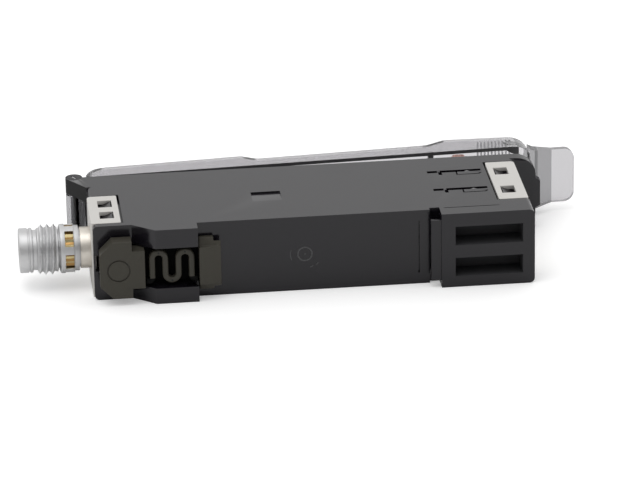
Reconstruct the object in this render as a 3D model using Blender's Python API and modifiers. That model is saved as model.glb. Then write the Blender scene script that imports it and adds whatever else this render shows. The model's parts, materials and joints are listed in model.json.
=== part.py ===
"""A slim DIN-rail fibre optic sensor amplifier, lying on its broad side.

+X runs along the body from the M8 connector to the fibre end, +Y from the rail side to the
hinged cover, and +Z across the width. The origin lies on the lower broad side, in the middle
of the body. The cover stands slightly open.
"""

import math

import bmesh
import bpy
from mathutils import Matrix, Vector

mm = 0.001

# Body
left_block_length = 15.97 * mm
recess_length = 37.72 * mm
right_block_length = 14.56 * mm
body_width = 12.25 * mm
side_depth = 23.85 * mm
side_wall = 1.1 * mm
end_wall = 2.2 * mm
cavity_front = 5.0 * mm
corner_radius = 0.8 * mm
seat_gap = 0.3 * mm
slide_gap = 0.2 * mm
fit_gap = 0.15 * mm
cutter_reach = 10 * mm

# Rail side, measured from the connector end and from the foremost faces
pad_zone_length = 5.97 * mm
pad_zone_depth = 2.85 * mm
ramp_length = 3.46 * mm
rail_floor_depth = 2.25 * mm
rail_thickness = 1.0 * mm
flange_groove_depth = 3.0 * mm
lip_reach = 1.57 * mm
lip_front = 0.35 * mm
lip_margin = 1.1 * mm
witness_slit_offset = 3.4 * mm
witness_slit_width = 0.25 * mm
witness_slit_depth = 0.5 * mm
witness_slit_margin = 1.85 * mm
pocket_height = 3.1 * mm
pocket_length = 10.55 * mm
pocket_depth = 4.0 * mm
pocket_margin = 1.85 * mm
pocket_rib = 2.1 * mm
lower_pocket_bottom = 1.75 * mm

# Rail latch
latch_mid_z = 5.85 * mm
latch_channel_width = 6.6 * mm
latch_channel_depth = 3.2 * mm
latch_pad_start = 0.8 * mm
latch_pad_length = 4.95 * mm
latch_pad_width = 9.25 * mm
latch_pad_chamfer = 1.95 * mm
latch_neck_length = 1.95 * mm
latch_stem_size = 1.4 * mm
latch_slot_length = 2.0 * mm
latch_slot_width = 2.7 * mm
latch_slot_lead = 0.55 * mm
latch_slot_rise = 0.3 * mm
latch_socket_floor = 0.4 * mm
pad_ring_radius = 1.7 * mm
pad_ring_width = 0.2 * mm
pad_ring_offset = 2.85 * mm
spring_stroke = 0.9 * mm
spring_depth = 1.2 * mm
spring_front = 0.75 * mm
spring_foot = 1.15 * mm
spring_bends = 3
spring_height = 5.5 * mm
hook_length = 3.4 * mm
hook_overhang = 1.1 * mm
hook_flat = 1.4 * mm
hook_wing_width = 8.6 * mm
hook_travel = 1.5 * mm
bar_skin = 0.6 * mm

# Broad-side details
snap_length = 4.6 * mm
snap_start = 25.4 * mm
snap_front = 9.7 * mm
snap_run = 3.8 * mm
snap_drop = 0.28 * mm
finger_slot_length = 8.5 * mm
finger_slot_inset = 14.45 * mm
finger_slot_width = 0.85 * mm
finger_slot_depth = 0.8 * mm
finger_slot_rears = (18.25 * mm, 10.7 * mm)
finger_rib_start = 1.6 * mm
finger_rib_width = 0.45 * mm
finger_ramp_length = 1.25 * mm
finger_ramp_drop = 0.3 * mm
finger_ramp_shift = 0.2 * mm
finger_arm_start = 4.6 * mm
finger_arm_length = 3.4 * mm
finger_arm_width = 1.15 * mm
finger_arm_slant = 0.4 * mm
finger_groove_width = 0.24 * mm
finger_groove_depth = 0.35 * mm
finger_tip_length = 1.0 * mm
finger_tip_reach = 0.5 * mm
gate_line_front = 2.6 * mm
gate_line_inset = 13.85 * mm
gate_line_length = 8.7 * mm
gate_line_width = 0.18 * mm

# End clips
clip_sheet = 0.65 * mm
clip_arm_length = 4.6 * mm
clip_recess_extra = 0.35 * mm
clip_window_margin = 1.5 * mm
clip_window_length = 2.2 * mm
clip_corner = 0.7 * mm
clip_small_corner = 0.3 * mm
left_clip_proud = 0.14 * mm
left_clip_front = 4.1 * mm
left_clip_depth = 11.25 * mm
left_clip_window_width = 2.75 * mm
left_clip_window_pitch = 4.65 * mm
right_clip_sunk = 0.25 * mm
right_clip_front = 5.05 * mm
right_clip_depth = 15.65 * mm
right_clip_window_width = 2.9 * mm
right_clip_window_pitch = 7.8 * mm
barb_height = 0.7 * mm

# Hinge, cover and tongue
hinge_offset = 1.6 * mm
hinge_rise = 0.15 * mm
hinge_radius = 1.35 * mm
hinge_pin_radius = 0.6 * mm
hinge_pin_head_radius = 1.15 * mm
hinge_pin_head = 0.4 * mm
hinge_pin_floor = 0.5 * mm
pin_clearance = 0.05 * mm
ear_thickness = 2.5 * mm
ear_foot = 4.45 * mm
cover_open_angle = math.radians(2.6)
cover_wall = 1.0 * mm
cover_edge_radius = 0.75 * mm
cover_inset = 0.1 * mm
cover_start_gap = 0.6 * mm
cover_start_height = 4.2 * mm
cover_corner_run = 3.4 * mm
cover_corner_rise = 3.1 * mm
button_hump_end = 25.4 * mm
button_hump_height = 4.9 * mm
valley_start = 28.5 * mm
valley_height = 3.35 * mm
valley_end_inset = 13.45 * mm
valley_end_height = 3.9 * mm
lock_hump_inset = 9.25 * mm
lock_hump_height = 5.6 * mm
cover_end_height = 4.75 * mm
end_bow_length = 3.25 * mm
end_bow_drop = 2.75 * mm
tongue_reach = 3.5 * mm
cover_overhang = 0.4 * mm
tongue_thickness = 1.95 * mm
catch_reach = 0.75 * mm
catch_width = 5.0 * mm
catch_step = 0.5 * mm
tab_reach = 7.1 * mm
tab_width = 9.1 * mm
tab_root_width = 10.0 * mm
tab_thickness = 1.0 * mm
tab_rise = 1.2 * mm
tab_root_length = 3.4 * mm
tab_corner = 1.7 * mm
nub_inset = 13.05 * mm
nub_length = 0.9 * mm
nub_drop = 0.75 * mm

# Display face
panel_thickness = 1.1 * mm
panel_sink = 0.85 * mm
window_start = 28.6 * mm
window_end_inset = 15.05 * mm
window_width = 7.0 * mm
window_thickness = 1.3 * mm
window_proud = 0.3 * mm
button_names = ("set_button", "mode_button", "down_button", "up_button")
button_first = 5.6 * mm
button_pitch = 5.75 * mm
button_length = 4.0 * mm
button_width = 6.6 * mm
button_proud = 1.9 * mm
button_collar = 0.5 * mm
button_travel = 0.4 * mm
lens_inset = 8.05 * mm
lens_radius = 1.1 * mm
lens_length = 2.3 * mm
lens_proud = 4.5 * mm
slide_inset = 5.5 * mm
slide_length = 4.9 * mm
slide_foot_length = 2.7 * mm
slide_proud = 3.95 * mm
slide_side_room = 0.9 * mm
slide_travel = 1.2 * mm
slide_stem_inset = 1.35 * mm
slide_stem_length = 1.6 * mm
slide_stem_width = 3.0 * mm
slide_ridge_count = 9
slide_ridge_depth = 0.3 * mm

# Boards and optics
board_thickness = 1.0 * mm
display_board_depth = 3.9 * mm
display_module_height = 1.9 * mm
switch_size = 3.6 * mm
main_board_drop = 3.5 * mm
board_rib_count = 3
board_rib_root = 0.5 * mm
chip_count = 3
chip_height = 1.5 * mm
fibre_bore_radius = 1.15 * mm
socket_length = 7.6 * mm
optics_radius = 1.3 * mm
optics_length = 4.2 * mm
optics_rim = 0.4 * mm
optics_lead_length = 1.6 * mm

# M8 connector, measured from the connector end towards -X
connector_y = 9.8 * mm
connector_tip = 11.2 * mm
thread_radius = 4.0 * mm
thread_pitch = 1.0 * mm
thread_depth = 0.6 * mm
thread_turns = 3
thread_start = 8.2 * mm
nose_radius = 3.5 * mm
nose_length = 2.1 * mm
relief_radius = 3.15 * mm
bore_radius = 2.75 * mm
core_radius = 3.0 * mm
neck_radius = 3.22 * mm
neck_length = 1.75 * mm
collar_radius = 3.85 * mm
collar_wall = 0.3 * mm
collar_length = 3.0 * mm
collar_window_count = 6
collar_window_length = 1.35 * mm
collar_window_width = 2.7 * mm
collar_window_turn = 15
knurl_count = 24
knurl_depth = 0.16 * mm
flange_lip = 1.0 * mm
flange_thickness = 0.8 * mm
insert_face = 6.4 * mm
pin_radius = 0.5 * mm
pin_circle_radius = 1.45 * mm
pin_tip = 10.3 * mm

round_steps = 32
arc_steps = 6

# Places that follow from the sizes above
body_length = left_block_length + recess_length + right_block_length
mid_z = body_width / 2
right_block_start = left_block_length + recess_length
valley_end = body_length - valley_end_inset
lock_hump_start = body_length - lock_hump_inset
nub_position = body_length - nub_inset
window_length = body_length - window_end_inset - window_start
lens_position = body_length - lens_inset
slide_start = body_length - slide_inset
slide_width = body_width - 2 * side_wall - 2 * slide_side_room
slide_stem_x = slide_start + slide_stem_inset
lens_width = body_width - 2 * side_wall - 2 * slide_gap
flange_radius = neck_radius + flange_lip
main_board_z = mid_z - main_board_drop
hinge_x = -hinge_offset
hinge_y = side_depth + hinge_rise
panel_face = side_depth - panel_sink
panel_back = panel_face - panel_thickness
cavity_start = end_wall
cavity_end = body_length - end_wall
rear_edge = side_depth
tongue_end_x = body_length + tongue_reach
cover_end_x = tongue_end_x + cover_overhang
display_board_front = rear_edge - panel_sink - panel_thickness - display_board_depth
fibre_mid_y = (cavity_front + display_board_front) / 2
fibre_pitch = (display_board_front - cavity_front) * 0.55
connector_z = mid_z


def collection(name):
    made = bpy.data.collections.new(name)
    bpy.context.scene.collection.children.link(made)
    return made


def clear_scene():
    for obj in list(bpy.data.objects):
        bpy.data.objects.remove(obj, do_unlink=True)


clear_scene()
parts = collection("fibre_sensor_amplifier")
cutters = collection("cutters")
materials = {}


def material(name, colour, roughness, metallic=0.0, alpha=1.0):
    made = bpy.data.materials.new(name)
    made.use_nodes = True
    shader = made.node_tree.nodes["Principled BSDF"]
    shader.inputs["Base Color"].default_value = (*colour, 1.0)
    shader.inputs["Roughness"].default_value = roughness
    shader.inputs["Metallic"].default_value = metallic
    shader.inputs["Alpha"].default_value = alpha
    made.diffuse_color = (*colour, alpha)
    materials[name] = made


def add(name, mesh, place):
    obj = bpy.data.objects.new(name, mesh)
    place.objects.link(obj)
    return obj


def from_bmesh(name, shape, place):
    bmesh.ops.recalc_face_normals(shape, faces=shape.faces)
    mesh = bpy.data.meshes.new(name)
    shape.to_mesh(mesh)
    shape.free()
    return add(name, mesh, place)


def box(name, low, high, place=None):
    """A block between two opposite corners."""
    low, high = Vector(low), Vector(high)
    shape = bmesh.new()
    size = high - low
    spot = Matrix.Translation((low + high) / 2) @ Matrix.Diagonal((*size, 1.0))
    bmesh.ops.create_cube(shape, size=1.0, matrix=spot)
    return from_bmesh(name, shape, place or cutters)


def rod(name, start, end, radius, place=None, steps=round_steps):
    """A round bar between two points."""
    start, end = Vector(start), Vector(end)
    shape = bmesh.new()
    turn = (end - start).to_track_quat("Z", "Y").to_matrix().to_4x4()
    spot = Matrix.Translation((start + end) / 2) @ turn
    bmesh.ops.create_cone(
        shape,
        cap_ends=True,
        segments=steps,
        radius1=radius,
        radius2=radius,
        depth=(end - start).length,
        matrix=spot,
    )
    return from_bmesh(name, shape, place or cutters)


def flat_axes(normal):
    """The matrix that lays a flat outline square to an axis of the body."""
    if normal == "Z":
        return Matrix.Identity(4)
    if normal == "Y":
        return Matrix(((1, 0, 0, 0), (0, 0, 1, 0), (0, 1, 0, 0), (0, 0, 0, 1)))
    return Matrix(((0, 0, 1, 0), (1, 0, 0, 0), (0, 1, 0, 0), (0, 0, 0, 1)))


def plate(name, outline, normal, low, high, place=None):
    """A flat outline given thickness: (x, y) along Z, (x, z) along Y or (y, z) along X."""
    curve = bpy.data.curves.new(name, "CURVE")
    curve.dimensions = "2D"
    curve.fill_mode = "BOTH"
    curve.extrude = (high - low) / 2
    spline = curve.splines.new("POLY")
    spline.points.add(len(outline) - 1)
    for point, (u, v) in zip(spline.points, outline):
        point.co = (u, v, 0.0, 1.0)
    spline.use_cyclic_u = True
    drawn = add(name + "_outline", curve, cutters)
    bpy.context.view_layer.update()
    reader = bpy.context.evaluated_depsgraph_get()
    mesh = bpy.data.meshes.new_from_object(drawn.evaluated_get(reader))
    bpy.data.objects.remove(drawn, do_unlink=True)
    shape = bmesh.new()
    shape.from_mesh(mesh)
    bpy.data.meshes.remove(mesh)
    bmesh.ops.remove_doubles(shape, verts=shape.verts, dist=1e-7)
    lift = Matrix.Translation((0, 0, (low + high) / 2))
    bmesh.ops.transform(shape, matrix=flat_axes(normal) @ lift, verts=shape.verts)
    return from_bmesh(name, shape, place or cutters)


def turned(name, profile, start, place=None, steps=round_steps):
    """A shape turned about an axis along -X; the profile holds (radius, distance towards -X)."""
    mesh = bpy.data.meshes.new(name)
    points = [(radius, 0.0, distance) for radius, distance in profile]
    closed = profile[0][0] > 0 or profile[-1][0] > 0
    edges = [(i, i + 1) for i in range(len(points) - 1)]
    if closed:
        edges.append((len(points) - 1, 0))
    mesh.from_pydata(points, edges, [])
    obj = add(name, mesh, place or cutters)
    screw = obj.modifiers.new("Turn", "SCREW")
    screw.steps = steps
    screw.render_steps = steps
    screw.use_merge_vertices = True
    screw.merge_threshold = 1e-6
    obj.location = start
    obj.rotation_euler = (0.0, -math.pi / 2, 0.0)
    return obj


def boolean(target, tool, operation):
    step = target.modifiers.new(operation.title(), "BOOLEAN")
    step.operation = operation
    step.solver = "EXACT"
    step.object = tool
    tool.hide_render = True
    tool.display_type = "WIRE"
    return target


def cut(target, *tools):
    for tool in tools:
        boolean(target, tool, "DIFFERENCE")
    return target


def join(target, *tools):
    for tool in tools:
        boolean(target, tool, "UNION")
    return target


def keep_common(target, *tools):
    for tool in tools:
        boolean(target, tool, "INTERSECT")
    return target


def round_edges(obj, width, segments=2, angle=40):
    """A small radius on the sharp edges of a plain piece."""
    step = obj.modifiers.new("Radius", "BEVEL")
    step.width = width
    step.segments = segments
    step.limit_method = "ANGLE"
    step.angle_limit = math.radians(angle)
    return obj


def finish(obj, name):
    obj.data.materials.clear()
    obj.data.materials.append(materials[name])
    obj.data.shade_smooth()
    obj.data.set_sharp_from_angle(angle=math.radians(35))
    return obj


def arc(centre, radii, first, last, steps=arc_steps):
    """Points along an elliptical arc, with the angles in degrees."""
    points = []
    for i in range(steps + 1):
        angle = math.radians(first + (last - first) * i / steps)
        points.append((centre[0] + radii[0] * math.cos(angle), centre[1] + radii[1] * math.sin(angle)))
    return points


def ease(start, end, steps=arc_steps):
    """Points of a smooth step between two levels."""
    points = []
    for i in range(steps + 1):
        share = i / steps
        rise = share * share * (3 - 2 * share)
        points.append((start[0] + (end[0] - start[0]) * share, start[1] + (end[1] - start[1]) * rise))
    return points


def rounded_rectangle(low, high, radius, steps=3):
    (x0, y0), (x1, y1) = low, high
    radii = (radius, radius)
    points = arc((x1 - radius, y0 + radius), radii, -90, 0, steps)
    points += arc((x1 - radius, y1 - radius), radii, 0, 90, steps)
    points += arc((x0 + radius, y1 - radius), radii, 90, 180, steps)
    points += arc((x0 + radius, y0 + radius), radii, 180, 270, steps)
    return points


def make_materials():
    material("housing_plastic", (0.024, 0.024, 0.026), 0.42)
    material("panel_plastic", (0.02, 0.02, 0.022), 0.5)
    material("smoke_plastic", (0.5, 0.49, 0.5), 0.06, alpha=0.45)
    material("olive_plastic", (0.066, 0.062, 0.046), 0.5)
    material("cream_plastic", (0.72, 0.7, 0.66), 0.45)
    material("plated_brass", (0.62, 0.61, 0.6), 0.25, metallic=1.0)
    material("bare_brass", (0.62, 0.42, 0.13), 0.35, metallic=1.0)
    material("gold_contact", (0.8, 0.58, 0.25), 0.22, metallic=1.0)
    material("steel", (0.45, 0.45, 0.46), 0.3, metallic=1.0)
    material("window_plastic", (0.03, 0.008, 0.008), 0.08)
    material("button_rubber", (0.16, 0.165, 0.175), 0.55)
    material("indicator_plastic", (0.85, 0.3, 0.05), 0.2)
    material("display_body", (0.05, 0.05, 0.052), 0.6)
    material("circuit_board", (0.02, 0.14, 0.06), 0.5)
    material("switch_metal", (0.5, 0.5, 0.48), 0.35, metallic=1.0)
    material("insert_plastic", (0.015, 0.015, 0.016), 0.45)
    material("optics_resin", (0.1, 0.1, 0.13), 0.15)


def rail_side_outline():
    """The broad side's outline: latch block, rail recess and pocketed block."""
    ramp_end = pad_zone_length + ramp_length
    return [
        (0.0, pad_zone_depth),
        (pad_zone_length, pad_zone_depth),
        (ramp_end, 0.0),
        (left_block_length, 0.0),
        (left_block_length, rail_floor_depth),
        (right_block_start - lip_reach, rail_floor_depth),
        (right_block_start - lip_reach, flange_groove_depth),
        (right_block_start, flange_groove_depth),
        (right_block_start, 0.0),
        (body_length, 0.0),
        (body_length, side_depth),
        (0.0, side_depth),
    ]


def bowed_end(end_x, inset):
    """The bowed end that the tongue and the cover share, seen from the rear."""
    radii = (end_bow_length, end_bow_drop)
    start = end_x - end_bow_length
    points = arc((start, inset + end_bow_drop), radii, -90, 0)
    points += arc((start, body_width - inset - end_bow_drop), radii, 0, 90)
    return points


def ear_outline():
    """A hinge ear: a round end on the pin and a foot on the body."""
    centre = (hinge_x, hinge_y)
    points = arc(centre, (hinge_radius, hinge_radius), -6, 215, 14)
    foot_x = end_wall
    foot_y = rear_edge - ear_foot
    points += [(0.0, foot_y), (foot_x, foot_y), (foot_x, rear_edge)]
    return points


def clip_recess(name, end_x, inward, sink, front, depth):
    """The shallow space in the body that an end clip sits in, round one end."""
    outside = end_x - inward * 5 * mm
    back = end_x + inward * (sink + clip_sheet + seat_gap)
    arm_end = end_x + inward * (sink + clip_arm_length + clip_recess_extra)
    low_y, high_y = front - fit_gap, front + depth + fit_gap
    skin = clip_sheet + seat_gap / 2
    ends = sorted((outside, back))
    shape = box(name + "_end", (ends[0], low_y, -mm), (ends[1], high_y, body_width + mm))
    arms = []
    for side, low_z in (("low", -mm), ("high", body_width - skin)):
        xs = sorted((outside, arm_end))
        arms.append(box(name + "_arm_" + side, (xs[0], low_y, low_z), (xs[1], high_y, low_z + skin + mm)))
    return [shape, *arms]


def clip_window_spans(front, depth, pitch, width):
    middles = [front + depth / 2 + sign * pitch / 2 for sign in (1, -1)]
    return [(middle - width / 2, middle + width / 2) for middle in middles]


def barb(name, high_x, low_x, span, upper):
    """A ramped snap tooth on the body, standing inside a window of an end clip."""
    skin = clip_sheet + seat_gap / 2
    root = side_wall / 2
    low_y, high_y = span[0] + fit_gap, span[1] - fit_gap
    outline = [(low_x, -root), (high_x, -root), (high_x, barb_height), (low_x, 0.05 * mm)]
    base = body_width - skin
    if upper:
        shape = [(x, base + z) for x, z in outline]
    else:
        shape = [(x, skin - z) for x, z in outline]
    return plate(name, shape, "Y", low_y, high_y)


def end_clip(name, end_x, inward, sink, front, depth, pitch, width):
    """A U-shaped clip round one end, with two snap windows in each arm."""
    back_out = end_x + inward * sink
    back_in = back_out + inward * clip_sheet
    tip = back_out + inward * clip_arm_length
    # Four rounded corners, the largest on the outside at the rear.
    small, large, length = clip_small_corner, clip_corner, clip_arm_length
    outline = arc((small, small), (small, small), 180, 270, 3)
    outline += arc((length - small, small), (small, small), 270, 360, 3)
    outline += arc((length - small, depth - small), (small, small), 0, 90, 3)
    outline += arc((large, depth - large), (large, large), 90, 180)
    side = [(back_out + inward * u, front + v) for u, v in outline]
    clip = plate(name, side, "Z", 0.0, body_width, parts)
    hollow_xs = sorted((back_in, tip + inward * mm))
    hollow = box(
        name + "_hollow",
        (hollow_xs[0], front - mm, clip_sheet),
        (hollow_xs[1], front + depth + mm, body_width - clip_sheet),
    )
    cut(clip, hollow)
    window_out = back_out + inward * clip_window_margin
    window_xs = sorted((window_out, window_out + inward * clip_window_length))
    for i, span in enumerate(clip_window_spans(front, depth, pitch, width)):
        low = (window_xs[0], span[0], -mm)
        high = (window_xs[1], span[1], body_width + mm)
        cut(clip, box(name + "_window_%d" % i, low, high))
    return finish(clip, "cream_plastic")


def make_case():
    case = plate("case", rail_side_outline(), "Z", 0.0, body_width, parts)
    corners = rounded_rectangle((0.0, 0.0), (body_length, body_width), corner_radius)
    keep_common(case, plate("case_corners", corners, "Y", -mm, side_depth + mm))

    tongue_root = cavity_end + end_wall / 2
    tongue_plan = [(tongue_root, 0.0), *bowed_end(tongue_end_x, 0.0), (tongue_root, body_width)]
    tongue = plate("tongue", tongue_plan, "Y", rear_edge - tongue_thickness, rear_edge)
    catch_low, catch_high = mid_z - catch_width / 2, mid_z + catch_width / 2
    catch_plan = [
        (tongue_end_x - mm, catch_low),
        (tongue_end_x, catch_low),
        (tongue_end_x + catch_reach, catch_low + catch_reach / 2),
        (tongue_end_x + catch_reach, catch_high - catch_reach / 2),
        (tongue_end_x, catch_high),
        (tongue_end_x - mm, catch_high),
    ]
    catch = plate("catch", catch_plan, "Y", rear_edge - tongue_thickness, rear_edge - catch_step)
    join(case, tongue, catch)

    for side, low_z in (("low", 0.0), ("high", body_width - ear_thickness)):
        join(case, plate("ear_" + side, ear_outline(), "Z", low_z, low_z + ear_thickness))

    lip_low = (right_block_start - lip_reach, lip_front, lip_margin)
    lip_back = rail_floor_depth - rail_thickness - fit_gap
    lip_high = (right_block_start + mm, lip_back, body_width - lip_margin)
    join(case, box("rail_lip", lip_low, lip_high))

    cavity_low = (cavity_start, cavity_front, side_wall)
    cavity_high = (cavity_end, side_depth + mm, body_width - side_wall)
    cut(case, box("cavity", cavity_low, cavity_high))
    board_length = main_board_end() - cavity_start
    for i in range(board_rib_count):
        x = cavity_start + board_length * (i + 0.5) / board_rib_count
        low = (x, cavity_front - board_rib_root, side_wall - board_rib_root)
        high = (x + side_wall, display_board_front - seat_gap, main_board_z - seat_gap)
        join(case, box("board_rib_%d" % i, low, high))

    cut_latch_channel(case)
    cut_pockets(case)
    cut_side_details(case)
    cut_clip_seats(case)
    cut_end_bores(case)
    return finish(case, "housing_plastic")


def cut_latch_channel(case):
    low_z = latch_mid_z - latch_channel_width / 2
    high_z = latch_mid_z + latch_channel_width / 2
    low = (pad_zone_length - mm, -mm, low_z)
    cut(case, box("channel", low, (left_block_length + mm, latch_channel_depth, high_z)))
    wing_low = latch_mid_z - hook_wing_width / 2 - slide_gap
    wing_high = latch_mid_z + hook_wing_width / 2 + slide_gap
    wing_start = left_block_length - hook_travel - seat_gap
    high = (left_block_length + mm, rail_floor_depth, wing_high)
    wing_slot = box("wing_slot", (wing_start, bar_skin, wing_low), high)
    slot_x = latch_pad_start - latch_slot_lead
    slot_z = latch_mid_z + latch_slot_rise - latch_slot_width / 2
    slot_y = pad_zone_depth + latch_stem_size
    finger_slot = box(
        "driver_slot",
        (slot_x, pad_zone_depth - mm, slot_z),
        (slot_x + latch_slot_length, slot_y, slot_z + latch_slot_width),
    )
    stem_x, stem_half = latch_stem_x(), latch_stem_size / 2 + slide_gap
    socket = box(
        "latch_socket",
        (stem_x - stem_half, latch_channel_depth - mm, latch_mid_z - stem_half),
        (stem_x + stem_half, cavity_front - latch_socket_floor, latch_mid_z + stem_half),
    )
    slit_x = right_block_start - witness_slit_offset
    slit_floor = rail_floor_depth + witness_slit_depth
    slit = box(
        "witness_slit",
        (slit_x, rail_floor_depth - mm, witness_slit_margin),
        (slit_x + witness_slit_width, slit_floor, body_width - witness_slit_margin),
    )
    cut(case, wing_slot, finger_slot, socket, slit)


def latch_stem_x():
    return latch_pad_start + latch_pad_length + latch_neck_length / 2


def cut_pockets(case):
    start = body_length - pocket_margin - pocket_length
    for i in range(2):
        low_z = lower_pocket_bottom + i * (pocket_height + pocket_rib)
        low = (start, -mm, low_z)
        high = (start + pocket_length, pocket_depth, low_z + pocket_height)
        cut(case, box("pocket_%d" % i, low, high))


def cut_side_details(case):
    """The snap ramp, the gate line and the two finger slots on the upper broad side."""
    ramp = [
        (snap_front, body_width),
        (snap_front + snap_run, body_width - snap_drop),
        (snap_front + snap_run, body_width + mm),
        (snap_front, body_width + mm),
    ]
    cut(case, plate("snap_ramp", ramp, "X", snap_start, snap_start + snap_length))
    line_x = body_length - gate_line_inset
    line_low = (line_x, gate_line_front, body_width - gate_line_width)
    line_high = (line_x + gate_line_length, gate_line_front + gate_line_width, body_width + mm)
    cut(case, box("gate_line", line_low, line_high))
    for i, rear in enumerate(finger_slot_rears):
        cut(case, *finger_slot("finger_slot_%d" % i, body_length - finger_slot_inset, rear))


def finger_slot(name, x, rear):
    """A slot crossed by a rib, and the thin groove round the snap arm in front of it."""
    front = rear - finger_slot_width
    high = body_width + mm
    rib_start = x + finger_rib_start
    rib_end = rib_start + finger_rib_width
    low_z = body_width - finger_slot_depth
    first = box(name + "_first", (x, front, low_z), (rib_start, rear, high))

    arm_start = x + finger_arm_start
    arm_end = arm_start + finger_arm_length
    tip = (arm_start + arm_end) / 2
    outline = [
        (rib_end, front),
        (tip - finger_tip_length / 2, front),
        (tip, front + finger_tip_reach),
        (tip + finger_tip_length / 2, front),
        (x + finger_slot_length, front),
        (x + finger_slot_length, rear),
        (rib_end, rear),
    ]
    second = plate(name + "_second", outline, "Z", low_z, high)

    # The ramp runs into the slot beside the rib.
    ramp_end = front + finger_ramp_shift
    ramp = [
        (front - finger_ramp_length, body_width),
        (ramp_end, body_width - finger_ramp_drop),
        (ramp_end, high),
        (front - finger_ramp_length, high),
    ]
    wedge_start = rib_start + finger_ramp_shift / 2
    wedge = plate(name + "_ramp", ramp, "X", wedge_start, rib_end + finger_ramp_shift)

    arm_front = front - finger_arm_width
    route = [
        (arm_start, front + finger_groove_width / 2),
        (arm_start, arm_front),
        (arm_end, arm_front),
        (arm_end + finger_arm_slant, arm_front + finger_arm_slant),
    ]
    groove_outline = ribbon(route, finger_groove_width)
    groove = plate(name + "_groove", groove_outline, "Z", body_width - finger_groove_depth, high)
    return [first, second, wedge, groove]


def cut_clip_seats(case):
    left = (0.0, 1, -left_clip_proud)
    right = (body_length, -1, right_clip_sunk)
    cut(case, *clip_recess("left_clip_seat", *left, left_clip_front, left_clip_depth))
    cut(case, *clip_recess("right_clip_seat", *right, right_clip_front, right_clip_depth))
    left_windows = (left_clip_window_pitch, left_clip_window_width)
    right_windows = (right_clip_window_pitch, right_clip_window_width)
    clips = (
        ("left", left, left_clip_front, left_clip_depth, left_windows),
        ("right", right, right_clip_front, right_clip_depth, right_windows),
    )
    for name, (end_x, inward, sink), front, depth, (pitch, width) in clips:
        outer = end_x + inward * (sink + clip_window_margin)
        inner = outer + inward * (clip_window_length - slide_gap)
        for i, span in enumerate(clip_window_spans(front, depth, pitch, width)):
            for upper in (True, False):
                label = "%s_barb_%d_%s" % (name, i, "high" if upper else "low")
                join(case, barb(label, inner, outer + inward * 0.5 * mm, span, upper))


def cut_end_bores(case):
    """The holes for the connector neck, the two fibres and the hinge pin."""
    neck = rod(
        "neck_bore",
        (-mm, connector_y, connector_z),
        (end_wall + mm, connector_y, connector_z),
        neck_radius + fit_gap,
    )
    cut(case, neck)
    for i, y in enumerate(fibre_heights()):
        low = (cavity_end - mm, y, mid_z)
        cut(case, rod("fibre_hole_%d" % i, low, (body_length + mm, y, mid_z), fibre_bore_radius))
    bore = rod(
        "ear_bore",
        (hinge_x, hinge_y, hinge_pin_floor),
        (hinge_x, hinge_y, body_width + mm),
        hinge_pin_radius + pin_clearance,
        steps=20,
    )
    sink = rod(
        "ear_sink",
        (hinge_x, hinge_y, body_width - hinge_pin_head - fit_gap),
        (hinge_x, hinge_y, body_width + mm),
        hinge_pin_head_radius + pin_clearance,
    )
    cut(case, bore, sink)


def fibre_heights():
    return (fibre_mid_y + fibre_pitch / 2, fibre_mid_y - fibre_pitch / 2)


def make_hinge_pin():
    pin = rod(
        "hinge_pin",
        (hinge_x, hinge_y, hinge_pin_floor + fit_gap),
        (hinge_x, hinge_y, body_width - hinge_pin_head),
        hinge_pin_radius,
        parts,
        steps=20,
    )
    head = rod(
        "pin_head",
        (hinge_x, hinge_y, body_width - hinge_pin_head),
        (hinge_x, hinge_y, body_width),
        hinge_pin_head_radius,
    )
    join(pin, head)
    finish(pin, "steel")


def cover_profile(inset):
    """The cover's side outline in the closed pose, run on below its rim."""
    rim = rear_edge + hinge_rise
    base = rim - 3 * cover_edge_radius
    left = hinge_x + hinge_radius + cover_start_gap + inset
    run = cover_corner_run - inset
    rise = cover_corner_rise - inset
    start_top = rim + cover_start_height - inset
    points = [(left, base)]
    points += arc((left + run, start_top - rise), (run, rise), 180, 90)
    points += ease(
        (button_hump_end, rim + button_hump_height - inset),
        (valley_start, rim + valley_height - inset),
    )
    points += ease(
        (valley_end, rim + valley_end_height - inset),
        (lock_hump_start, rim + lock_hump_height - inset),
    )
    end = cover_end_x - inset
    points += [(end, rim + cover_end_height - inset), (end, base)]
    return points


def cover_plan(inset):
    """The cover seen from the rear: straight sides and the bowed end."""
    left = hinge_x + hinge_radius + cover_start_gap + inset
    low = cover_inset + inset
    high = body_width - cover_inset - inset
    return [(left, high), (left, low), *bowed_end(cover_end_x - inset, cover_inset + inset)]


def cover_tab():
    """The finger tab: thin at its end, thicker and wider at its root."""
    rim = rear_edge + hinge_rise
    root = cover_end_x - cover_wall / 2
    thick_end = cover_end_x + tab_root_length
    end = cover_end_x + tab_reach
    low, high = rim + tab_rise, rim + tab_rise + tab_thickness
    side = [(root, rim), (cover_end_x + 0.4 * mm, rim), (thick_end, low)]
    side += [(end, low), (end, high), (root, high)]
    tab = plate("tab", side, "Z", mid_z - tab_root_width / 2, mid_z + tab_root_width / 2)
    half, wide = tab_width / 2, tab_root_width / 2
    radii = (tab_corner, tab_corner)
    plan = [(root - mm, mid_z - wide), (cover_end_x + 0.4 * mm, mid_z - wide), (thick_end, mid_z - half)]
    plan += arc((end - tab_corner, mid_z - half + tab_corner), radii, -90, 0)
    plan += arc((end - tab_corner, mid_z + half - tab_corner), radii, 0, 90)
    plan += [(thick_end, mid_z + half), (cover_end_x + 0.4 * mm, mid_z + wide), (root - mm, mid_z + wide)]
    return keep_common(tab, plate("tab_plan", plan, "Y", rim - mm, high + mm))


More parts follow.
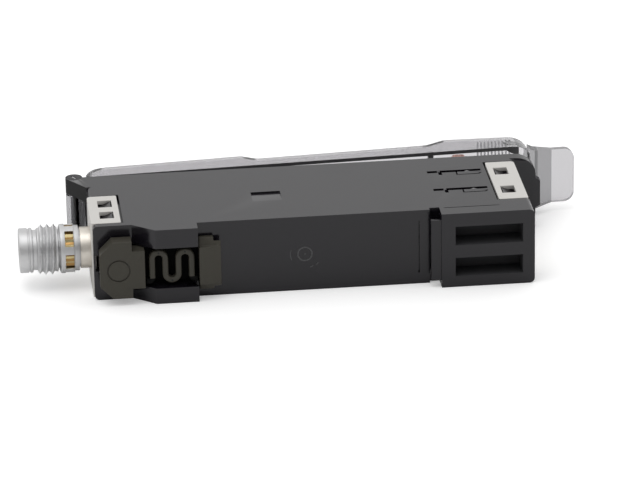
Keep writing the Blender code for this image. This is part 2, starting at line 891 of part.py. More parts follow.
def make_cover():
    rim = rear_edge + hinge_rise
    cover = plate("cover", cover_profile(0.0), "Z", 0.0, body_width, parts)
    reach = cutter_reach
    keep_common(cover, plate("cover_plan", cover_plan(0.0), "Y", rim - reach, rim + reach))
    round_edges(cover, cover_edge_radius, segments=3, angle=50)
    below = box(
        "below_rim",
        (hinge_x, rim - cutter_reach, -mm),
        (cover_end_x + mm, rim, body_width + mm),
    )
    cut(cover, below)
    inner = plate("cover_inner", cover_profile(cover_wall), "Z", 0.0, body_width)
    keep_common(inner, plate("cover_inner_plan", cover_plan(cover_wall), "Y", rim - reach, rim + reach))
    cut(cover, inner)
    join(cover, cover_tab())

    barrel_low = ear_thickness + seat_gap
    barrel_high = body_width - ear_thickness - seat_gap
    web_end = hinge_x + hinge_radius + cover_start_gap + cover_wall / 2
    web = box(
        "hinge_web",
        (hinge_x, rim, barrel_low),
        (web_end, hinge_y + hinge_radius - slide_gap, barrel_high),
    )
    barrel = rod(
        "hinge_barrel",
        (hinge_x, hinge_y, barrel_low),
        (hinge_x, hinge_y, barrel_high),
        hinge_radius,
    )
    join(cover, web, barrel)
    bore = rod(
        "barrel_bore",
        (hinge_x, hinge_y, 0.0),
        (hinge_x, hinge_y, body_width),
        hinge_pin_radius + pin_clearance,
        steps=20,
    )
    cut(cover, bore)

    nub_top = body_width - side_wall - fit_gap
    nub = box(
        "closing_nub",
        (nub_position, rim - nub_drop, nub_top - 0.7 * mm),
        (nub_position + nub_length, rim + 0.5 * mm, nub_top),
    )
    nub_carrier = box(
        "nub_carrier",
        (nub_position, rim, nub_top - 0.7 * mm),
        (nub_position + nub_length, rim + mm, body_width - cover_inset - cover_wall / 2),
    )
    join(cover, nub_carrier, nub)
    return finish(cover, "smoke_plastic")


def hang_cover(cover):
    """The cover turns about its pin, so it is carried by an empty on that axis."""
    hinge = bpy.data.objects.new("cover_hinge", None)
    parts.objects.link(hinge)
    hinge.location = (hinge_x, hinge_y, 0.0)
    hinge.rotation_euler = (0.0, 0.0, cover_open_angle)
    carried = [cover] + [step.object for step in cover.modifiers if step.type == "BOOLEAN"]
    for obj in carried[1:]:
        carried += [step.object for step in obj.modifiers if step.type == "BOOLEAN"]
    for obj in carried:
        obj.parent = hinge
        obj.matrix_parent_inverse = Matrix.Translation((-hinge_x, -hinge_y, 0.0))


def make_latch_pad():
    start = latch_pad_start
    end = start + latch_pad_length
    neck_end = end + latch_neck_length
    half = latch_pad_width / 2
    neck_half = latch_channel_width / 2 - slide_gap
    chamfer = latch_pad_chamfer
    outline = [
        (start, latch_mid_z - half + chamfer),
        (start + chamfer, latch_mid_z - half),
        (end, latch_mid_z - half),
        (end, latch_mid_z - neck_half),
        (neck_end, latch_mid_z - neck_half),
        (neck_end, latch_mid_z + neck_half),
        (end, latch_mid_z + neck_half),
        (end, latch_mid_z + half),
        (start + chamfer, latch_mid_z + half),
        (start, latch_mid_z + half - chamfer),
    ]
    pad = plate("rail_latch_pad", outline, "Y", 0.0, pad_zone_depth - seat_gap, parts)
    half_stem = latch_stem_size / 2
    stem = box(
        "latch_stem",
        (latch_stem_x() - half_stem, pad_zone_depth - mm, latch_mid_z - half_stem),
        (latch_stem_x() + half_stem, cavity_front - latch_socket_floor - seat_gap, latch_mid_z + half_stem),
    )
    join(pad, stem)
    cut(pad, ring_groove("pad_ring", start + pad_ring_offset, latch_mid_z, pad_ring_radius, pad_ring_width))
    finish(pad, "olive_plastic")


def ring_groove(name, x, z, radius, width):
    """A shallow ring cut into a face that lies on the front plane."""
    outer = rod(name, (x, -mm, z), (x, width, z), radius + width / 2)
    inner = rod(name + "_core", (x, -2 * mm, z), (x, mm, z), radius - width / 2)
    return cut(outer, inner)


def spring_centreline():
    """The meander's middle line, from its foot on the pad to its foot on the hook."""
    low = latch_mid_z - spring_height / 2 + spring_stroke / 2
    high = latch_mid_z + spring_height / 2 - spring_stroke / 2
    left = latch_pad_start + latch_pad_length + latch_neck_length
    right = left_block_length + fit_gap
    first = left + spring_foot
    pitch = (right - spring_foot - first) / spring_bends
    radius = pitch / 2
    points = [(left + seat_gap, low), (first, low)]
    for i in range(spring_bends):
        middle = first + (i + 0.5) * pitch
        if i % 2 == 0:
            points += arc((middle, high - radius), (radius, radius), 180, 0, 8)
        else:
            points += arc((middle, low + radius), (radius, radius), 180, 360, 8)
    points += [(right - spring_foot, low), (right - seat_gap, low)]
    return points


def ribbon(centreline, width):
    """The outline of a strip of even width along a line, with mitred corners."""
    count = len(centreline)
    left, right = [], []
    for i, (x, y) in enumerate(centreline):
        before = Vector(centreline[max(i - 1, 0)])
        after = Vector(centreline[min(i + 1, count - 1)])
        here = Vector((x, y))
        arrive = (here - before).normalized() if i > 0 else (after - here).normalized()
        leave = (after - here).normalized() if i < count - 1 else arrive
        along = (arrive + leave).normalized()
        across = Vector((-along.y, along.x)) * (width / 2 / max(along.dot(leave), 0.5))
        left.append(tuple(here + across))
        right.append(tuple(here - across))
    return left + right[::-1]


def make_latch_spring():
    outline = ribbon(spring_centreline(), spring_stroke)
    spring = plate("rail_latch_spring", outline, "Y", spring_front, spring_front + spring_depth, parts)
    finish(spring, "olive_plastic")


def make_latch_hook():
    """The sliding hook: a ramped head that overhangs the rail, and two guide wings."""
    start = left_block_length + fit_gap
    end = start + hook_length
    lip_back = rail_floor_depth - rail_thickness - fit_gap
    base = rail_floor_depth - slide_gap
    side = [
        (start, 0.0),
        (start + hook_flat, 0.0),
        (end, lip_back - 0.3 * mm),
        (end, lip_back),
        (end - hook_overhang, lip_back),
        (end - hook_overhang, base),
        (start, base),
    ]
    wing = hook_wing_width / 2
    hook = plate("rail_latch_hook", side, "Z", latch_mid_z - wing, latch_mid_z + wing, parts)
    head = latch_channel_width / 2 - slide_gap
    step = bar_skin + slide_gap
    section = [
        (-mm, latch_mid_z - head),
        (step, latch_mid_z - head),
        (step + 0.5 * mm, latch_mid_z - wing),
        (base + mm, latch_mid_z - wing),
        (base + mm, latch_mid_z + wing),
        (step + 0.5 * mm, latch_mid_z + wing),
        (step, latch_mid_z + head),
        (-mm, latch_mid_z + head),
    ]
    keep_common(hook, plate("hook_section", section, "X", start - mm, end + mm))
    finish(hook, "olive_plastic")


def make_end_clips():
    left = end_clip(
        "connector_end_clip",
        0.0,
        1,
        -left_clip_proud,
        left_clip_front,
        left_clip_depth,
        left_clip_window_pitch,
        left_clip_window_width,
    )
    neck = rod(
        "clip_neck_hole",
        (-2 * mm, connector_y, connector_z),
        (2 * mm, connector_y, connector_z),
        neck_radius + fit_gap,
    )
    cut(left, neck)
    right = end_clip(
        "fibre_end_clip",
        body_length,
        -1,
        right_clip_sunk,
        right_clip_front,
        right_clip_depth,
        right_clip_window_pitch,
        right_clip_window_width,
    )
    for i, y in enumerate(fibre_heights()):
        low = (body_length - 2 * mm, y, mid_z)
        cut(right, rod("clip_fibre_hole_%d" % i, low, (body_length + mm, y, mid_z), fibre_bore_radius))


def button_x(index):
    return button_first + index * button_pitch


def make_panel():
    low = (cavity_start + fit_gap, panel_back, side_wall + fit_gap)
    high = (cavity_end - fit_gap, panel_face, body_width - side_wall - fit_gap)
    panel = box("front_panel", low, high, parts)
    half = window_width / 2 + fit_gap
    window_hole = box(
        "window_hole",
        (window_start - fit_gap, panel_back - mm, mid_z - half),
        (window_start + window_length + fit_gap, panel_face + mm, mid_z + half),
    )
    cut(panel, window_hole)
    for i in range(len(button_names)):
        hole_half = Vector((button_length / 2 + fit_gap, button_width / 2 + fit_gap))
        spot = Vector((button_x(i), mid_z))
        outline = rounded_rectangle(spot - hole_half, spot + hole_half, 1.2 * mm)
        cut(panel, plate("button_hole_%d" % i, outline, "Y", panel_back - mm, panel_face + mm))
    lens_hole = rod(
        "lens_hole",
        (lens_position, panel_back - mm, mid_z),
        (lens_position, panel_face + mm, mid_z),
        lens_radius + fit_gap,
        steps=20,
    )
    half_length = slide_stem_length / 2 + slide_gap
    half_width = slide_stem_width / 2 + slide_gap
    slide_hole = box(
        "slide_hole",
        (slide_stem_x - half_length - slide_travel, panel_back - mm, mid_z - half_width),
        (slide_stem_x + half_length, panel_face + mm, mid_z + half_width),
    )
    cut(panel, lens_hole, slide_hole)
    finish(panel, "panel_plastic")


def make_window():
    low = (window_start, panel_face + window_proud - window_thickness, mid_z - window_width / 2)
    high = (window_start + window_length, panel_face + window_proud, mid_z + window_width / 2)
    finish(round_edges(box("display_window", low, high, parts), 0.25 * mm), "window_plastic")


def make_button(index, name):
    """A push button: a cap through the panel, with a collar behind it."""
    half = Vector((button_length / 2, button_width / 2))
    outline = rounded_rectangle(-half, half, 1.1 * mm)
    button = plate(name, outline, "Y", -panel_thickness - fit_gap - button_collar / 2, button_proud, parts)
    collar_half = half + Vector((0.4 * mm, 0.4 * mm))
    collar_outline = rounded_rectangle(-collar_half, collar_half, 1.1 * mm)
    collar_back = -panel_thickness - fit_gap - button_collar
    collar = plate(name + "_collar", collar_outline, "Y", collar_back, collar_back + button_collar)
    join(button, collar)
    for obj in (button, collar):
        obj.location = (button_x(index), panel_face, mid_z)
    finish(button, "button_rubber")


def make_switch(index):
    """A tact switch on the display board, under its button."""
    x = button_x(index)
    half = switch_size / 2
    base_y = display_board_front + board_thickness + seat_gap
    top = panel_back - fit_gap - button_collar - button_travel - fit_gap
    body_top = base_y + (top - base_y) * 0.6
    low, high = (x - half, base_y, mid_z - half), (x + half, body_top, mid_z + half)
    switch = box("tact_switch_%d" % (index + 1), low, high, parts)
    plunger_base = (x, body_top - 0.1 * mm, mid_z)
    plunger = rod("plunger_%d" % index, plunger_base, (x, top, mid_z), switch_size / 4, steps=16)
    join(switch, plunger)
    finish(switch, "switch_metal")


def make_lens():
    """The light bar across the face, with a round light guide down to the board."""
    half = Vector((lens_length / 2, lens_width / 2))
    spot = Vector((lens_position, mid_z))
    outline = rounded_rectangle(spot - half, spot + half, lens_length / 4)
    base = panel_face + fit_gap
    lens = plate("indicator_lens", outline, "Y", base, panel_face + lens_proud, parts)
    round_edges(lens, 0.3 * mm)
    foot = (lens_position, display_board_front + board_thickness + seat_gap, mid_z)
    join(lens, rod("light_guide", foot, (lens_position, base + mm, mid_z), lens_radius, steps=20))
    finish(lens, "indicator_plastic")


def comb_outline(low, high, count, depth):
    """A rectangle seen from the rear, with square ridges down both long sides."""
    pitch = (high.x - low.x) / (2 * count + 1)
    near, far = [], []
    for i in range(2 * count + 1):
        inset = depth if i % 2 else 0.0
        x = low.x + i * pitch
        near += [(x, low.y + inset), (x + pitch, low.y + inset)]
        far += [(x, high.y - inset), (x + pitch, high.y - inset)]
    return near + far[::-1]


def make_lock_slide():
    """The ridged thumb slide that locks the fibres."""
    end = slide_start + slide_length
    top = panel_face + slide_proud
    low = Vector((slide_start, mid_z - slide_width / 2))
    high = Vector((end, mid_z + slide_width / 2))
    outline = comb_outline(low, high, slide_ridge_count, slide_ridge_depth)
    head_base = rear_edge + slide_gap
    slide = plate("fibre_lock_slide", outline, "Y", head_base, top, parts)
    pitch = slide_length / (2 * slide_ridge_count + 1)
    for i in range(slide_ridge_count):
        x = slide_start + (2 * i + 1) * pitch
        groove_low = (x, top - slide_ridge_depth, low.y - mm)
        cut(slide, box("slide_groove_%d" % i, groove_low, (x + pitch, top + mm, high.y + mm)))
    foot = box(
        "slide_foot",
        (slide_start + slide_ridge_depth, panel_face + slide_gap, low.y + 2 * slide_ridge_depth),
        (slide_start + slide_foot_length, head_base + mm, high.y - 2 * slide_ridge_depth),
    )
    stem = box(
        "slide_stem",
        (slide_stem_x - slide_stem_length / 2, panel_back - 0.6 * mm, mid_z - slide_stem_width / 2),
        (slide_stem_x + slide_stem_length / 2, head_base, mid_z + slide_stem_width / 2),
    )
    join(slide, foot, stem)
    finish(slide, "cream_plastic")


def make_boards():
    display_low = (cavity_start + seat_gap, display_board_front, side_wall + seat_gap)
    display_high = (
        cavity_end - seat_gap,
        display_board_front + board_thickness,
        body_width - side_wall - seat_gap,
    )
    finish(box("display_board", display_low, display_high, parts), "circuit_board")

    module_low = display_board_front + board_thickness + seat_gap
    module = box(
        "display_module",
        (window_start + seat_gap, module_low, mid_z - window_width / 2 + seat_gap),
        (
            window_start + window_length - seat_gap,
            panel_face + window_proud - window_thickness - seat_gap,
            mid_z + window_width / 2 - seat_gap,
        ),
        parts,
    )
    finish(module, "display_body")

    start = Vector((cavity_start + flange_thickness + 2 * seat_gap, cavity_front + seat_gap))
    end = Vector((main_board_end(), display_board_front - seat_gap))
    size = end - start
    main = box("main_board", (*start, main_board_z), (*end, main_board_z + board_thickness), parts)
    chip_base = main_board_z + board_thickness / 2
    for i in range(chip_count):
        middle = start + Vector((size.x * (i + 0.5) / chip_count, size.y * (0.5 + 0.1 * (i % 2))))
        half = size * (0.06 + 0.01 * i)
        half.y = half.x
        low, high = middle - half, middle + half
        chip = box("chip_%d" % i, (*low, chip_base), (*high, chip_base + chip_height))
        join(main, chip)
    finish(main, "circuit_board")


def socket_start():
    return cavity_end - seat_gap - socket_length


def main_board_end():
    return socket_start() - optics_length - optics_lead_length - seat_gap


def make_optics():
    """The fibre socket block, with the emitter and the receiver behind its two bores."""
    socket = box(
        "fibre_socket",
        (socket_start(), cavity_front + seat_gap, side_wall + seat_gap),
        (cavity_end - seat_gap, display_board_front - seat_gap, body_width - side_wall - seat_gap),
        parts,
    )
    for i, y in enumerate(fibre_heights()):
        low = (socket_start() - mm, y, mid_z)
        cut(socket, rod("socket_bore_%d" % i, low, (cavity_end + mm, y, mid_z), fibre_bore_radius))
    finish(socket, "insert_plastic")
    for name, y in zip(("emitter_led", "receiver_photodiode"), fibre_heights()):
        rim = optics_radius + optics_rim
        back = optics_length
        lead = back + optics_lead_length
        profile = [
            (0.0, lead),
            (optics_rim, lead),
            (optics_rim, back),
            (rim, back),
            (rim, back - optics_rim),
            (optics_radius, back - optics_rim),
            *[(optics_radius * u, optics_radius * (1 - v)) for u, v in arc((0, 0), (1, 1), 0, 75, 5)],
            (0.0, 0.0),
        ]
        device = turned(name, profile, (socket_start() - seat_gap, y, mid_z), parts, 24)
        finish(device, "optics_resin")


def thread_profile():
    """The turned threads of the connector, crest by crest towards -X."""
    points = []
    root = thread_radius - thread_depth
    first = thread_start - thread_turns * thread_pitch
    for i in range(thread_turns):
        low = first + i * thread_pitch
        points += [(root, low + 0.08 * thread_pitch), (thread_radius, low + 0.45 * thread_pitch)]
        points += [(thread_radius, low + 0.55 * thread_pitch), (root, low + 0.92 * thread_pitch)]
    return points


def make_connector():
    start = Vector((0.0, connector_y, connector_z))
    first_thread = thread_start - thread_turns * thread_pitch
    groove = connector_tip - nose_length + mm / 4
    outer = [
        (core_radius, -end_wall),
        (core_radius, first_thread - 0.1 * mm),
        (thread_radius - 0.15 * mm, first_thread - 0.1 * mm),
        *thread_profile(),
        (relief_radius, thread_start + 0.15 * mm),
        (relief_radius, connector_tip - nose_length),
        (nose_radius, connector_tip - nose_length + 0.1 * mm),
        (nose_radius, groove),
        (nose_radius - 0.15 * mm, groove + 0.1 * mm),
        (nose_radius, groove + 0.2 * mm),
        (nose_radius, connector_tip - 0.15 * mm),
        (nose_radius - 0.15 * mm, connector_tip),
        (bore_radius, connector_tip),
        (bore_radius, -end_wall),
    ]
    shell = turned("connector_shell", outer[::-1], start, parts)
    finish(shell, "plated_brass")

    neck = [
        (neck_radius, neck_length),
        (neck_radius, -end_wall - fit_gap),
        (flange_radius, -end_wall - fit_gap),
        (flange_radius, -end_wall - fit_gap - flange_thickness),
        (core_radius + slide_gap / 2, -end_wall - fit_gap - flange_thickness),
        (core_radius + slide_gap / 2, neck_length),
    ]
    flange = turned("connector_flange", neck, start, parts)
    # Where the housing is slim, the flange has flats that clear its walls.
    flats_low = (-neck_length - mm, connector_y - cutter_reach, side_wall + seat_gap)
    flats_high = (cavity_start + 2 * mm, connector_y + cutter_reach, body_width - side_wall - seat_gap)
    keep_common(flange, box("flange_flats", flats_low, flats_high))
    finish(flange, "plated_brass")

    collar_low = neck_length + slide_gap
    collar_high = collar_low + collar_length
    inside = collar_radius - collar_wall
    ring = [
        (collar_radius - 0.15 * mm, collar_high),
        (collar_radius, collar_high - 0.15 * mm),
        (collar_radius, collar_low + 0.15 * mm),
        (collar_radius - 0.15 * mm, collar_low),
        (inside, collar_low),
        (inside, collar_high),
    ]
    collar = turned("collar_ring", ring, start, parts, 48)
    middle = -(collar_low + collar_high) / 2
    for i in range(collar_window_count // 2):
        angle = math.radians(collar_window_turn + 180 * i / (collar_window_count // 2))
        window = box(
            "collar_window_%d" % i,
            (-collar_window_length / 2, -5 * mm, -collar_window_width / 2),
            (collar_window_length / 2, 5 * mm, collar_window_width / 2),
        )
        window.location = start + Vector((middle, 0, 0))
        window.rotation_euler = (angle, 0, 0)
        cut(collar, window)
    finish(collar, "plated_brass")

    outline = []
    knurl_radius = inside - slide_gap / 2
    for i in range(knurl_count * 2):
        angle = math.pi * i / knurl_count
        radius = knurl_radius - (knurl_depth if i % 2 else 0.0)
        outline.append((connector_y + radius * math.cos(angle), connector_z + radius * math.sin(angle)))
    knurl = plate("knurled_ring", outline, "X", -collar_high + seat_gap, -collar_low - seat_gap, parts)
    knurl_bore = rod("knurl_bore", start - Vector((9 * mm, 0, 0)), start, core_radius + slide_gap / 2)
    cut(knurl, knurl_bore)
    finish(knurl, "bare_brass")


def pin_places():
    """The four contacts of an M8 plug, on a circle about the axis."""
    places = []
    for degrees in (45, 135, 225, 315):
        angle = math.radians(degrees)
        y = connector_y + pin_circle_radius * math.cos(angle)
        places.append((y, connector_z + pin_circle_radius * math.sin(angle)))
    return places


def make_insert():
    start = (-insert_face, connector_y, connector_z)
    end = (end_wall, connector_y, connector_z)
    insert = rod("connector_insert", start, end, bore_radius - fit_gap, parts)
    bore = pin_radius + pin_clearance
    for i, (y, z) in enumerate(pin_places()):
        cut(
            insert,
            rod("pin_bore_%d" % i, (-connector_tip, y, z), (end_wall + mm, y, z), bore, steps=16),
        )
    finish(insert, "insert_plastic")
    for i, (y, z) in enumerate(pin_places()):
        tail = end_wall + flange_thickness + mm
        contact = rod("contact_pin_%d" % (i + 1), (-pin_tip, y, z), (tail, y, z), pin_radius, parts, 16)
        finish(round_edges(contact, 0.15 * mm), "gold_contact")


def place_origin():
    """Moves the origin to the middle of the lower broad side."""
    origin = bpy.data.objects.new("amplifier_origin", None)
    parts.objects.link(origin)
    origin.location = (-body_length / 2, -side_depth / 2, 0.0)
    for obj in list(parts.objects) + list(cutters.objects):
        if obj.parent is None and obj is not origin:
            obj.parent = origin


def build():
    make_materials()
    make_case()
    make_hinge_pin()
    hang_cover(make_cover())
    make_latch_pad()
    make_latch_spring()
    make_latch_hook()
    make_end_clips()
    make_panel()
    make_window()
    for i, name in enumerate(button_names):
        make_button(i, name)
        make_switch(i)
    make_lens()
    make_lock_slide()
    make_boards()
    make_optics()
    make_connector()
    make_insert()
    place_origin()
    bpy.context.view_layer.update()


build()
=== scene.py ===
import json
import math

import bmesh
import bpy
from mathutils import Matrix, Vector


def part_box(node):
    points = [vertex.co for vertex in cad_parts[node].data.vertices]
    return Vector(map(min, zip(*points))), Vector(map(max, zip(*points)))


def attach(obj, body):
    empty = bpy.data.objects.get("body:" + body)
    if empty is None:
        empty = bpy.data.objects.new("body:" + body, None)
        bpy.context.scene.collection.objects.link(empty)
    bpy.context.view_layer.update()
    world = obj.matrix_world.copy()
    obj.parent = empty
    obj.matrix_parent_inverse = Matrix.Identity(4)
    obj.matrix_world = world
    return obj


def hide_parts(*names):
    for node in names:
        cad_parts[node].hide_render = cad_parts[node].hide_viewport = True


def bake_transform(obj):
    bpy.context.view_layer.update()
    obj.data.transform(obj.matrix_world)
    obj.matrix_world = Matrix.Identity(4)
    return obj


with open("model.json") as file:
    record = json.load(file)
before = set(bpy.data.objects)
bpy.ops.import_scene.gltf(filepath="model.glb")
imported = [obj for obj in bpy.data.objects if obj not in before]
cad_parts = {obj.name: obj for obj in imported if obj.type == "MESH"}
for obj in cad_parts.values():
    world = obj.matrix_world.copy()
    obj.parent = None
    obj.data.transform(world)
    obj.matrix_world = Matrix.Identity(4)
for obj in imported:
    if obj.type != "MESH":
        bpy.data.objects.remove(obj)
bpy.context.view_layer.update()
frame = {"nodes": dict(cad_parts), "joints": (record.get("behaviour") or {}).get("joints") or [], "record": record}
bodies = frame["record"]["behaviour"]["bodies"]
bodyOf = {node: body for body, nodes in bodies.items() for node in nodes}
print("frame loaded:", len(frame["nodes"]), "nodes")

mm = 0.001
clipProud = 0.14 * mm    # the connector end clip stands this far past the end face
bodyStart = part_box("connector_end_clip")[0].x + clipProud
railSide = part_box("case")[0].y
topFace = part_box("case")[1].z
weldGap = 0.0005 * mm    # points of a new shape that are closer than this become one
nodeGap = 0.001 * mm    # and so do the points of a node's copy


def at(x, y, z):
    # a point in mm from the connector end, the rail side and the lower broad side
    return Vector((bodyStart + x * mm, railSide + y * mm, z * mm))


def inMm(point):
    # the same three measures of a point in the scene
    return (point - at(0, 0, 0)) / mm


def middleOf(node):
    low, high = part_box(node)
    return (low + high) / 2


def link(name, mesh):
    piece = bpy.data.objects.new(name, mesh)
    bpy.context.scene.collection.objects.link(piece)
    return piece


def fromShape(name, shape):
    bmesh.ops.recalc_face_normals(shape, faces=shape.faces)
    mesh = bpy.data.meshes.new(name)
    shape.to_mesh(mesh)
    shape.free()
    return link(name, mesh)


def standFor(piece, node, material):
    # the piece takes the node's place, body and finish
    piece.data.materials.clear()
    piece.data.materials.append(material)
    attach(piece, bodyOf[node])
    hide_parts(node)
    return piece


def paint(node, material):
    # a node that keeps its own shape
    mesh = frame["nodes"][node].data
    mesh.materials.clear()
    mesh.materials.append(material)


# camera: fitted to the photograph's edges
cameraSettings = {
    "aim": (35.0, 12.0, 6.0),
    "distance": 705.4 * mm,
    "azimuth": -5.94,
    "elevation": 22.27,
    "roll": -0.956,
    "lens": 253.3,
    "sensor": 36.0,
    "shift": (0.01066, -0.01623),
    "clipStart": 0.01,
}


def makeCamera(settings):
    turn = Matrix.Rotation(math.radians(settings["azimuth"]), 4, "Z")
    turn @= Matrix.Rotation(math.radians(90 - settings["elevation"]), 4, "X")
    turn @= Matrix.Rotation(math.radians(settings["roll"]), 4, "Z")
    lens = bpy.data.cameras.new("photoCamera")
    lens.lens = settings["lens"]
    lens.sensor_width = settings["sensor"]
    lens.sensor_fit = "HORIZONTAL"
    lens.shift_x, lens.shift_y = settings["shift"]
    lens.clip_start = settings["clipStart"]
    camera = bpy.data.objects.new("photoCamera", lens)
    bpy.context.scene.collection.objects.link(camera)
    back = Matrix.Translation((0, 0, settings["distance"]))
    camera.matrix_world = Matrix.Translation(at(*settings["aim"])) @ turn @ back
    bpy.context.scene.camera = camera


makeCamera(cameraSettings)
print("camera placed")


# studio: a white floor, a white room that is darker behind the camera, one large soft lamp
studioSettings = {
    "floorSize": 6.0,
    "floorColour": (0.97, 0.97, 0.97),
    "floorDrop": 0.02 * mm,
    "floorGlow": 0.3,    # added for the camera alone, so that the paper reads white
    "roomStrength": 1.08,
    "cameraSide": 0.34,    # the room's strength behind the camera
    "frontFade": (0.15, -0.6),    # the room darkens as its Y direction goes from the first to the second
    "lowFade": (0.85, 0.45),    # and as its Z direction does, so that it stays bright overhead
    "lampPlace": (-0.25, -0.15, 0.9),
    "lampSize": 0.7,
    "lampPower": 1.7,
}


def combined(tree, operation, first, second):
    node = tree.nodes.new("ShaderNodeMath")
    node.operation = operation
    tree.links.new(first, node.inputs[0])
    tree.links.new(second, node.inputs[1])
    return node.outputs[0]


def faded(tree, source, ends):
    # 0 to 1, with soft ends, while the source goes from the first end to the second
    node = tree.nodes.new("ShaderNodeMapRange")
    node.interpolation_type = "SMOOTHSTEP"
    node.inputs["From Min"].default_value, node.inputs["From Max"].default_value = ends
    tree.links.new(source, node.inputs["Value"])
    return node.outputs[0]


def seenOnly(tree, amount):
    # the amount for rays from the camera, also by way of clear plastic, and 0 for the rest
    ray = tree.nodes.new("ShaderNodeLightPath")
    share = tree.nodes.new("ShaderNodeMath")
    share.operation = "MULTIPLY"
    seen = combined(tree, "MAXIMUM", ray.outputs["Is Camera Ray"], ray.outputs["Is Transmission Ray"])
    tree.links.new(seen, share.inputs[0])
    share.inputs[1].default_value = amount
    return share.outputs[0]


def makeFloor(settings):
    shape = bmesh.new()
    bmesh.ops.create_grid(shape, x_segments=1, y_segments=1, size=settings["floorSize"] / 2)
    bmesh.ops.translate(shape, verts=shape.verts, vec=(0, 0, -settings["floorDrop"]))
    floor = fromShape("floor", shape)
    material = bpy.data.materials.new("floorPaper")
    material.use_nodes = True
    tree = material.node_tree
    shader = tree.nodes["Principled BSDF"]
    shader.inputs["Base Color"].default_value = (*settings["floorColour"], 1)
    shader.inputs["Roughness"].default_value = 1.0
    shader.inputs["Specular IOR Level"].default_value = 0.0
    glow = seenOnly(tree, settings["floorGlow"])
    tree.links.new(glow, shader.inputs["Emission Strength"])
    shader.inputs["Emission Color"].default_value = (1, 1, 1, 1)
    floor.data.materials.append(material)


def makeRoom(settings):
    world = bpy.data.worlds.new("whiteRoom")
    bpy.context.scene.world = world
    world.use_nodes = True
    tree = world.node_tree
    tree.nodes.clear()
    out = tree.nodes.new("ShaderNodeOutputWorld")
    direction = tree.nodes.new("ShaderNodeTexCoord")
    split = tree.nodes.new("ShaderNodeSeparateXYZ")
    tree.links.new(direction.outputs["Generated"], split.inputs[0])
    front = faded(tree, split.outputs["Y"], settings["frontFade"])
    low = faded(tree, split.outputs["Z"], settings["lowFade"])
    shade = tree.nodes.new("ShaderNodeMapRange")
    shade.inputs["To Min"].default_value = settings["roomStrength"]
    shade.inputs["To Max"].default_value = settings["cameraSide"]
    tree.links.new(combined(tree, "MULTIPLY", front, low), shade.inputs["Value"])
    room = tree.nodes.new("ShaderNodeBackground")
    tree.links.new(shade.outputs[0], room.inputs["Strength"])
    seen = tree.nodes.new("ShaderNodeBackground")
    mix = tree.nodes.new("ShaderNodeMixShader")
    tree.links.new(seenOnly(tree, 1.0), mix.inputs[0])
    tree.links.new(room.outputs[0], mix.inputs[1])
    tree.links.new(seen.outputs[0], mix.inputs[2])
    tree.links.new(mix.outputs[0], out.inputs["Surface"])


def makeLamp(settings):
    lamp = bpy.data.lights.new("softLamp", "AREA")
    lamp.shape = "DISK"
    lamp.size = settings["lampSize"]
    lamp.energy = settings["lampPower"]
    holder = bpy.data.objects.new("softLamp", lamp)
    bpy.context.scene.collection.objects.link(holder)
    place = Vector(settings["lampPlace"])
    holder.location = place
    holder.rotation_euler = place.to_track_quat("Z", "Y").to_euler()


bpy.context.scene.view_settings.view_transform = "Standard"
makeFloor(studioSettings)
makeRoom(studioSettings)
makeLamp(studioSettings)
print("studio ready")


# finishes
finishes = {
    "housingBlack": {"colour": (0.0075, 0.0064, 0.0094), "roughness": 0.18, "specular": 0.5, "grain": 0.16},
    "panelBlack": {"colour": (0.008, 0.008, 0.0085), "roughness": 0.5, "specular": 0.2, "grain": 0.2},
    # painted shade: near black for the guide behind the spring and for the spring's feet, where shade falls
    "paintedDeepShade": {"colour": (0.003, 0.003, 0.003), "roughness": 0.7, "specular": 0.1, "grain": 0.1},
    # painted light: a lighter copy of the housing's black for the pockets
    "pocketPaintedLight": {"colour": (0.05, 0.05, 0.053), "roughness": 0.75, "specular": 0.2, "grain": 0.1},
    "gateMark": {"colour": (0.06, 0.06, 0.062), "roughness": 0.5, "specular": 0.5, "grain": 0.3},
    # painted light: a lighter, glossier copy of the housing's black for the snap recess's ramp
    "snapRampPaintedLight": {"colour": (0.014, 0.012, 0.016), "roughness": 0.2, "specular": 0.72, "grain": 0.16},
    "latchOlive": {"colour": (0.053, 0.049, 0.038), "roughness": 0.46, "specular": 0.3, "grain": 0.2},
    "clipCream": {"colour": (0.66, 0.645, 0.615), "roughness": 0.42, "specular": 0.45, "grain": 0.18},
    "keyGrey": {"colour": (0.17, 0.175, 0.185), "roughness": 0.55, "specular": 0.35, "grain": 0.12},
    "slideIvory": {"colour": (0.6, 0.59, 0.57), "roughness": 0.42, "specular": 0.4, "grain": 0.18},
    # painted shade: opaque dark plastic for the clear cover's rim and side nub
    "edgePaintedShade": {"colour": (0.1, 0.1, 0.103), "roughness": 0.4, "specular": 0.45, "grain": 0.1},
    "insulatorBlack": {"colour": (0.015, 0.015, 0.016), "roughness": 0.42, "specular": 0.3, "grain": 0.14},
    "boardGreen": {"colour": (0.015, 0.11, 0.045), "roughness": 0.4, "specular": 0.5, "grain": 0.5},
    "moduleGrey": {"colour": (0.05, 0.05, 0.052), "roughness": 0.5, "specular": 0.4, "grain": 0.2},
}
